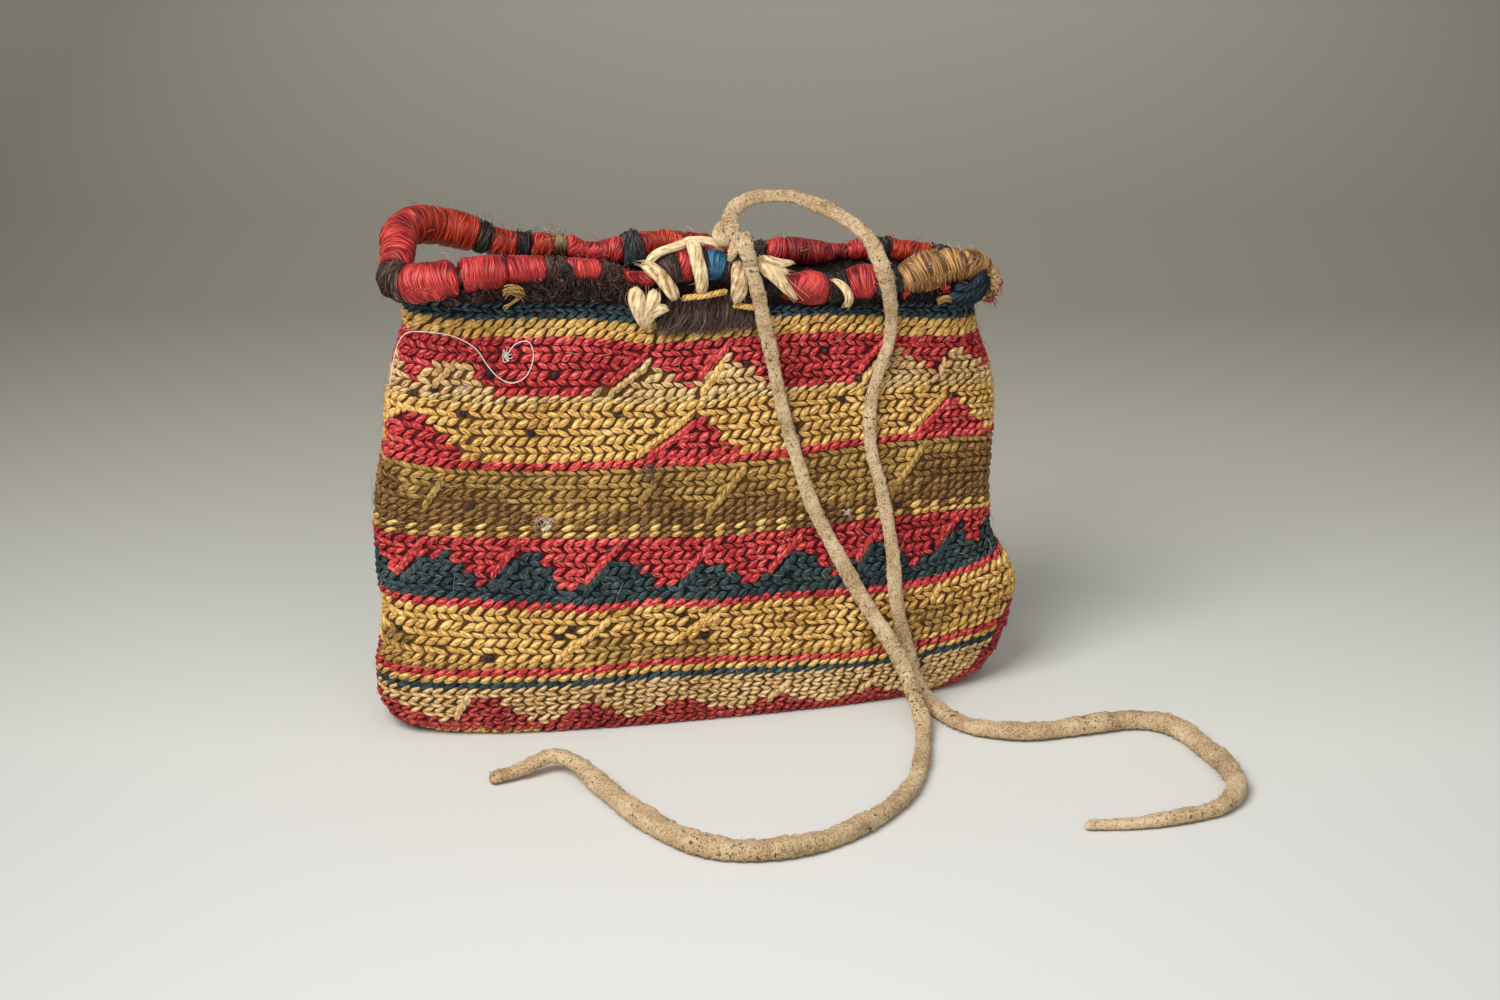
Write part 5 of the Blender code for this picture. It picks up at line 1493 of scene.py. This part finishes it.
# The strip: thickness against its width on the bag and on the floor, how square its section
# is, heights between which it turns over to lie on the floor, and its nap for each millimetre
BAG_THICKNESS = 0.62
FLOOR_THICKNESS = 0.76
KNOT_THICKNESS = 0.7
STRIP_POWER = 0.75
FLOOR_TURN = (4, 16)
NAP = 3.2


def strip(name, route, count, on_bag, on_floor, widths=None, ease=None):
    """A flattened strip of hide along a route whose last value is half its width, with its nap."""
    line = smooth_route(route, count)
    path, half = line[:, :3] + CENTRING, line[:, 3]
    if ease is not None:
        path[:, 0] += reading(ease, path[:, 2])
    along = unit(np.gradient(path, axis=0))
    low, high = FLOOR_TURN
    share = np.clip((path[:, 2] - low) / (high - low), 0, 1)
    share = (share * share * (3 - 2 * share))[:, None]
    facing = unit(np.array([-0.1, -1.0, 0.15]) * share + np.array([0.0, 0.0, 1.0]) * (1 - share))
    facing = unit(facing - along * np.sum(facing * along, -1, keepdims=True))
    side = np.cross(along, facing)
    gone = gone_along(path)
    room = half
    if widths is not None:
        half = half * reading(widths, gone)
    wander = 1 + 0.05 * np.sin(gone * 0.31 + 1) + 0.03 * np.sin(gone * 0.83)
    half = half * (wander + 0.02 * np.sin(gone * 2.3))
    close = np.minimum(gone, gone[-1] - gone)
    half = half * (0.55 + 0.45 * np.clip(close / 1.6, 0, 1) ** 0.5)
    thick = half * (on_floor + (on_bag - on_floor) * share[:, 0])
    path = path - facing * np.maximum(room - thick, 0)[:, None]
    sides, far = 24, gone[:, None]
    angle = turns(sides)
    across, proud = (
        np.sign(value) * np.abs(value) ** STRIP_POWER for value in (np.cos(angle), np.sin(angle))
    )
    seam = np.exp(-(((angle - 1.1 - 0.5 * np.sin(far * 0.045)) / 0.3) ** 2))
    rough = 1 + 0.035 * np.sin(far * 1.7 + 3 * angle) - 0.1 * seam
    rough = rough + 0.03 * np.sin(far * 3.1 - 2 * angle + 2) + RANDOM.normal(0, 0.012, (count, sides))
    points = (
        path[:, None]
        + side[:, None] * (across * half[:, None] * rough)[..., None]
        + facing[:, None] * (proud * thick[:, None] * rough)[..., None]
    )
    ends = [points[k].mean(0) + (points[k] - points[k].mean(0)) * 0.02 for k in (0, -1)]
    shell = np.concatenate([ends[0][None], points, ends[1][None]])
    number = int(gone[-1] * amount(NAP))
    rings, spots = RANDOM.integers(1, count - 1, number), RANDOM.integers(0, sides, number)
    base = points[rings, spots]
    out = unit(base - path[rings])
    heading = unit(out + unit(RANDOM.normal(0, 1, (number, 3))) * 0.9)
    cross = unit(np.cross(heading, RANDOM.normal(0, 1, (number, 3))))
    other = np.cross(heading, cross)
    reach = RANDOM.uniform(0.25, 0.8, number)[:, None]
    hair = [
        way + (cross * math.cos(turn) + other * math.sin(turn)) * size
        for way, size in ((base - out * 0.1, 0.07), (base + heading * reach, 0.03))
        for turn in (0, 2.1, 4.2)
    ]
    points = np.concatenate([shell.reshape(-1, 3), np.stack(hair, 1).reshape(-1, 3)])
    tiny = grid_faces(number, 2, 3, True) + shell.shape[0] * sides
    faces = np.concatenate([grid_faces(1, count + 2, sides, True), tiny])
    return mesh_piece(name, points, faces, [SUEDE]), path, gone[-1]


def build_thong():
    """Both tails of the hide thong, each one strip from the knot to its end."""
    for name, route, node, widths, ease in (
        ("thong_front", TAIL_FRONT, "thong_tail_front", FRONT_WIDTHS, FRONT_EASE),
        ("thong_back", TAIL_BACK, "thong_tail_back", BACK_WIDTHS, BACK_EASE),
    ):
        item, path, length = strip(name, route, 560, BAG_THICKNESS, FLOOR_THICKNESS, widths, ease)
        dress(item, "hide", node)


def build_thread():
    """The fine loose thread that hangs down the front at the left."""
    path = smooth_route(LOOSE_THREAD, 150) + CENTRING
    length = gone_along(path)[-1]
    item = tubes("stray_thread", path[None], 0.11, [THREAD], 6)
    dress(item, "thread", "loose_thread")
    knot = curls((-47.8, -11.2, 93.4), (1.2, 0.3, 1.3), 5, 24)
    dress(tubes("thread_tangle", knot, 0.09, [THREAD], 4), "thread")


# Turns of the knot: piece and route with half the width
KNOT_TURNS = [
    ("thong_turn_over_rim", [
        (5.8, -14.6, 121.0, 1.1), (4.9, -16.8, 118.8, 1.2), (4.0, -17.6, 116.6, 1.1),
        (3.3, -17.2, 114.4, 0.8)]),
    ("thong_turn_behind", [
        (5.0, -12.8, 119.4, 1.3), (3.8, -10.0, 118.2, 1.3), (3.2, -8.2, 115.4, 1.2),
        (3.0, -8.4, 111.0, 1.0)]),
    ("thong_turn_left", [
        (4.4, -15.8, 119.4, 1.1), (2.0, -16.3, 119.4, 1.4), (1.0, -15.8, 120.8, 1.4),
        (2.0, -15.0, 122.2, 1.2), (4.6, -14.4, 122.4, 1.3)]),
    ("thong_turn_right", [
        (3.6, -16.4, 118.8, 1.5), (5.6, -17.2, 119.2, 1.9), (7.2, -16.6, 119.0, 1.8),
        (7.6, -14.6, 118.6, 1.6), (6.0, -13.0, 118.0, 1.4)]),
    ("thong_rise", [
        (4.4, -15.2, 118.4, 1.8), (4.2, -15.2, 120.6, 2.0), (4.3, -14.0, 122.8, 2.0),
        (4.9, -12.2, 124.4, 1.8), (6.2, -11.6, 125.4, 1.6)]),
    ("thong_fall", [
        (5.4, -16.2, 120.6, 1.6), (6.2, -17.6, 119.4, 1.9), (7.0, -18.3, 117.4, 1.9),
        (7.8, -18.2, 115.0, 1.8), (8.4, -17.6, 112.6, 1.4)]),
]


def build_knot():
    """The knot of the thong on the rim: turns of the strip over and around each other."""
    for name, route in KNOT_TURNS:
        line = np.array(route)
        line[:, :3] -= CENTRING
        item, _, _ = strip(name, line, 50, KNOT_THICKNESS, KNOT_THICKNESS)
        dress(item, "hide", *(["thong_knot"] if (name, route) == KNOT_TURNS[0] else []))


# Loose fibres

# Stray fibres: how low they may lie, their tones, and which one by the yarn that they are on
LOWEST_FIBRE = 0.2
FUZZ_TONES = ["ochre", "crimson", "wool", "cotton"]
FUZZ_KINDS = {
    "gold": 0, "tan": 0, "pale": 0, "dash": 0, "olive": 0, "ochre": 0, "crimson": 1, "wine": 1,
}
RIM_FUZZ_TONES = ["crimson", "orange", "brown", "cotton"]
RIM_FUZZ_KINDS = {"crimson": 0, "dark_crimson": 0, "orange": 1, "camel": 3}

# Specks of lint: middle, size and how many fibres
LINT = [
    ((-40.4, -17.8, 54.4), (2.8, 0.4, 3.0), 9),
    ((31.4, -18.6, 51.8), (1.6, 0.3, 1.1), 6),
    ((-58.5, -14.8, 88.0), (1.2, 0.3, 0.9), 3),
]


def build_fuzz():
    """Stray fibres that stand off the weave, and then off the windings, and specks of lint."""
    count = amount(2300)
    row, column = RANDOM.uniform(0, 61, count), RANDOM.uniform(0, COLUMNS, count)
    place, right, up, out, front = weave_frame(row, column)
    turn = RANDOM.uniform(0, 2 * np.pi, count)[:, None]
    heading = np.cos(turn) * right + np.sin(turn) * up
    length = RANDOM.gamma(3.0, 0.8, count)[:, None, None]
    t = np.linspace(0, 1, 5)[None, :, None]
    rise = RANDOM.uniform(0.3, 1.0, count)[:, None, None]
    bend = RANDOM.normal(0, 0.8, count)[:, None, None]
    paths = (
        place[:, None] + out[:, None] * 0.25
        + heading[:, None] * length * t
        + out[:, None] * rise * np.sin(np.pi * t * 0.8)
        + np.cross(out, heading)[:, None] * bend * t**2
    )
    paths[..., 2] = np.maximum(paths[..., 2], LOWEST_FIBRE)
    x = place[:, 0] - CENTRING[0]
    colour = stitch_colours(row, x, front, RANDOM.random(count), np.zeros(count))
    slots = np.array([FUZZ_KINDS.get(tone, 2) for tone in colour])
    slots = np.where(RANDOM.random(count) < 0.35, 3, slots)
    materials = [HAIR[tone] for tone in FUZZ_TONES]
    dress(tubes("weave_fuzz", paths, 0.034, materials, slots=slots), "weave")

    paths, slots = [], []
    steps = np.linspace(0, 1, 5)[:, None]
    for _, start, end, tone, _, _ in WINDINGS:
        for _ in range(amount(22)):
            place, turn = RANDOM.uniform(start, end), RANDOM.uniform(-60, 200)
            base = rim_spot(place, turn, -0.1)
            place, turn = place + RANDOM.normal(0, 0.25), turn + RANDOM.normal(0, 24)
            tip = rim_spot(place, turn, RANDOM.uniform(0.3, 1.9))
            bow = RANDOM.normal(0, 0.5, 3) * np.sin(np.pi * steps)
            paths.append(base + (tip - base) * steps + bow)
            slots.append(RIM_FUZZ_KINDS.get(tone, 2) if RANDOM.random() > 0.14 else 3)
    materials = [HAIR[tone] for tone in RIM_FUZZ_TONES]
    dress(tubes("rim_fuzz", paths, 0.036, materials, slots=np.array(slots)), "yarn_crimson")

    lint = np.concatenate([curls(*speck) for speck in LINT])
    dress(tubes("lint", lint, 0.038, [THREAD]), "weave")
    tuft = curls((-15.8, -18.2, 64.8), (2.6, 0.3, 2.8), 18)
    hairs("olive_tuft", tuft, 0.06, "wool", "weave")


# Stage

def direction(azimuth, elevation):
    a, e = math.radians(azimuth), math.radians(elevation)
    return Vector((math.sin(a) * math.cos(e), -math.cos(a) * math.cos(e), math.sin(e)))


def add_camera():
    back = direction(CAMERA_AZIMUTH, CAMERA_ELEVATION)
    camera = bpy.data.objects.new("camera", bpy.data.cameras.new("camera"))
    camera.data.sensor_width = 36
    camera.data.lens = CAMERA_LENS
    camera.location = Vector(CAMERA_TARGET) + back * CAMERA_DISTANCE
    camera.rotation_euler = back.to_track_quat("Z", "Y").to_euler()
    bpy.context.scene.collection.objects.link(camera)
    bpy.context.scene.camera = camera


# The floor by its distance behind the bag, in metres: its grey, and how much less blue there
# is. Where that is more than GREEN_KEEP, half of the excess comes off green too. The greys grow
# darker behind the bag: painted falloff of light.
FLOOR_GREYS = [
    (-0.15, 206, 4), (-0.07, 207, 5), (-0.03, 209, 6), (0.02, 202, 7), (0.07, 192, 8),
    (0.13, 181, 11), (0.19, 169, 13), (0.25, 156, 14), (0.32, 143, 15), (0.43, 148, 15),
    (0.75, 181, 16),
]
FLOOR_REACH = 0.9
GREEN_KEEP = 8

# The floor's half size, how much darker it grows to the sides (painted falloff of light), for
# each square metre of distance from its brightest line, where that line lies, and the least
# share that is left
FLOOR_SIZE = 6.0
FLOOR_PAINTED_SIDE_FALLOFF = 4.2
FLOOR_MIDDLE = 0.045
FLOOR_LEAST = 0.6


def add_stage():
    """A pale floor that grows darker behind the bag and a little towards the sides: painted
    falloff of light.
    """
    mesh = bpy.data.meshes.new("floor")
    corners = [(-FLOOR_SIZE, -FLOOR_SIZE, 0), (FLOOR_SIZE, -FLOOR_SIZE, 0)]
    corners += [(FLOOR_SIZE, FLOOR_SIZE, 0), (-FLOOR_SIZE, FLOOR_SIZE, 0)]
    mesh.from_pydata(corners, [], [(0, 1, 2, 3)])
    floor = bpy.data.objects.new("floor", mesh)
    nodes = Nodes("floor")
    split = nodes.tree.nodes.new("ShaderNodeSeparateXYZ")
    nodes.tree.links.new(nodes.place(), split.inputs[0])
    x, y = split.outputs[0], split.outputs[1]
    turn = math.radians(-CAMERA_AZIMUTH)
    behind = nodes.plus(nodes.times(x, math.sin(turn)), nodes.times(y, math.cos(turn)))
    aside = nodes.minus(nodes.times(x, math.cos(turn)), nodes.times(y, math.sin(turn)))
    first = FLOOR_GREYS[0][0]
    share = nodes.math("DIVIDE", nodes.minus(behind, first), FLOOR_REACH, True)
    stops = []
    for place, grey, less in FLOOR_GREYS:
        green = grey - max(less - GREEN_KEEP, 0) * 0.5
        stops.append(((place - first) / FLOOR_REACH, linear(grey, green, grey - less)))
    # The ramp's greys darken behind the bag: painted falloff of light
    colour = nodes.ramp(share, stops)
    aside = nodes.minus(aside, FLOOR_MIDDLE)
    # Darker towards the sides: painted falloff of light
    painted_side_falloff = nodes.times(nodes.times(aside, aside), FLOOR_PAINTED_SIDE_FALLOFF)
    painted_side_falloff = nodes.math("MAXIMUM", nodes.minus(1.0, painted_side_falloff), FLOOR_LEAST)
    colour = nodes.blend(1.0, colour, painted_side_falloff, "MULTIPLY")
    mesh.materials.append(nodes.finish(colour, 0.95, specular=0.1))
    bpy.context.scene.collection.objects.link(floor)


# Lamps: name, place, size and power
LAMPS = [
    ("key", (-0.62, -0.62, 0.95), 0.7, 18.0),
    ("front", (0.15, -1.5, 0.95), 1.1, 5.8),
]
SKY = (1.0, 0.985, 0.96, 1)
SKY_STRENGTH = 0.38


def add_lights():
    world = bpy.data.worlds.new("studio")
    world.use_nodes = True
    world.node_tree.nodes["Background"].inputs["Color"].default_value = SKY
    world.node_tree.nodes["Background"].inputs["Strength"].default_value = SKY_STRENGTH
    bpy.context.scene.world = world
    for name, place, size, watts in LAMPS:
        data = bpy.data.lights.new(name, "AREA")
        data.size = size
        data.energy = watts
        lamp = bpy.data.objects.new(name, data)
        lamp.location = place
        aim = Vector(place) - Vector((0, 0, 0.05))
        lamp.rotation_euler = aim.to_track_quat("Z", "Y").to_euler()
        bpy.context.scene.collection.objects.link(lamp)


add_camera()
SUEDE = suede_material()
THREAD = plain_cloth("white_thread", [(204, 200, 194), (228, 225, 220), (246, 244, 240)], 900, 0.7)
build_thong()
build_thread()

WEAVE_YARNS = {tone: yarn_material(*settings) for tone, settings in YARNS.items()}
WIND_YARNS = {
    tone: wound_material(tone)
    for tone in ("crimson", "dark_crimson", "orange", "blue", "camel", "moss")
}
for tone in ("brown", "black", "teal", "deep_teal"):
    WIND_YARNS[tone] = wound_material(tone, 0.8, 0.8)
WIND_YARNS["cotton"] = yarn_material("soft_cotton", "cotton", 0.3, 0.95, 0.15, 0.8, 2)
HAIR = {
    tone: hair_material(tone)
    for tone in ("brown", "black", "ochre", "wool", "grey_wool", "crimson", "orange", "cotton")
}
build_ground()
build_weave(build_stems())
for line in WINDINGS:
    build_winding(*line)
build_core()
build_seams()
build_locks()
build_lacing()
build_trim()
build_wool_patch()
build_knot()
build_fuzz()
add_stage()
add_lights()
bpy.context.scene.view_settings.view_transform = "Standard"
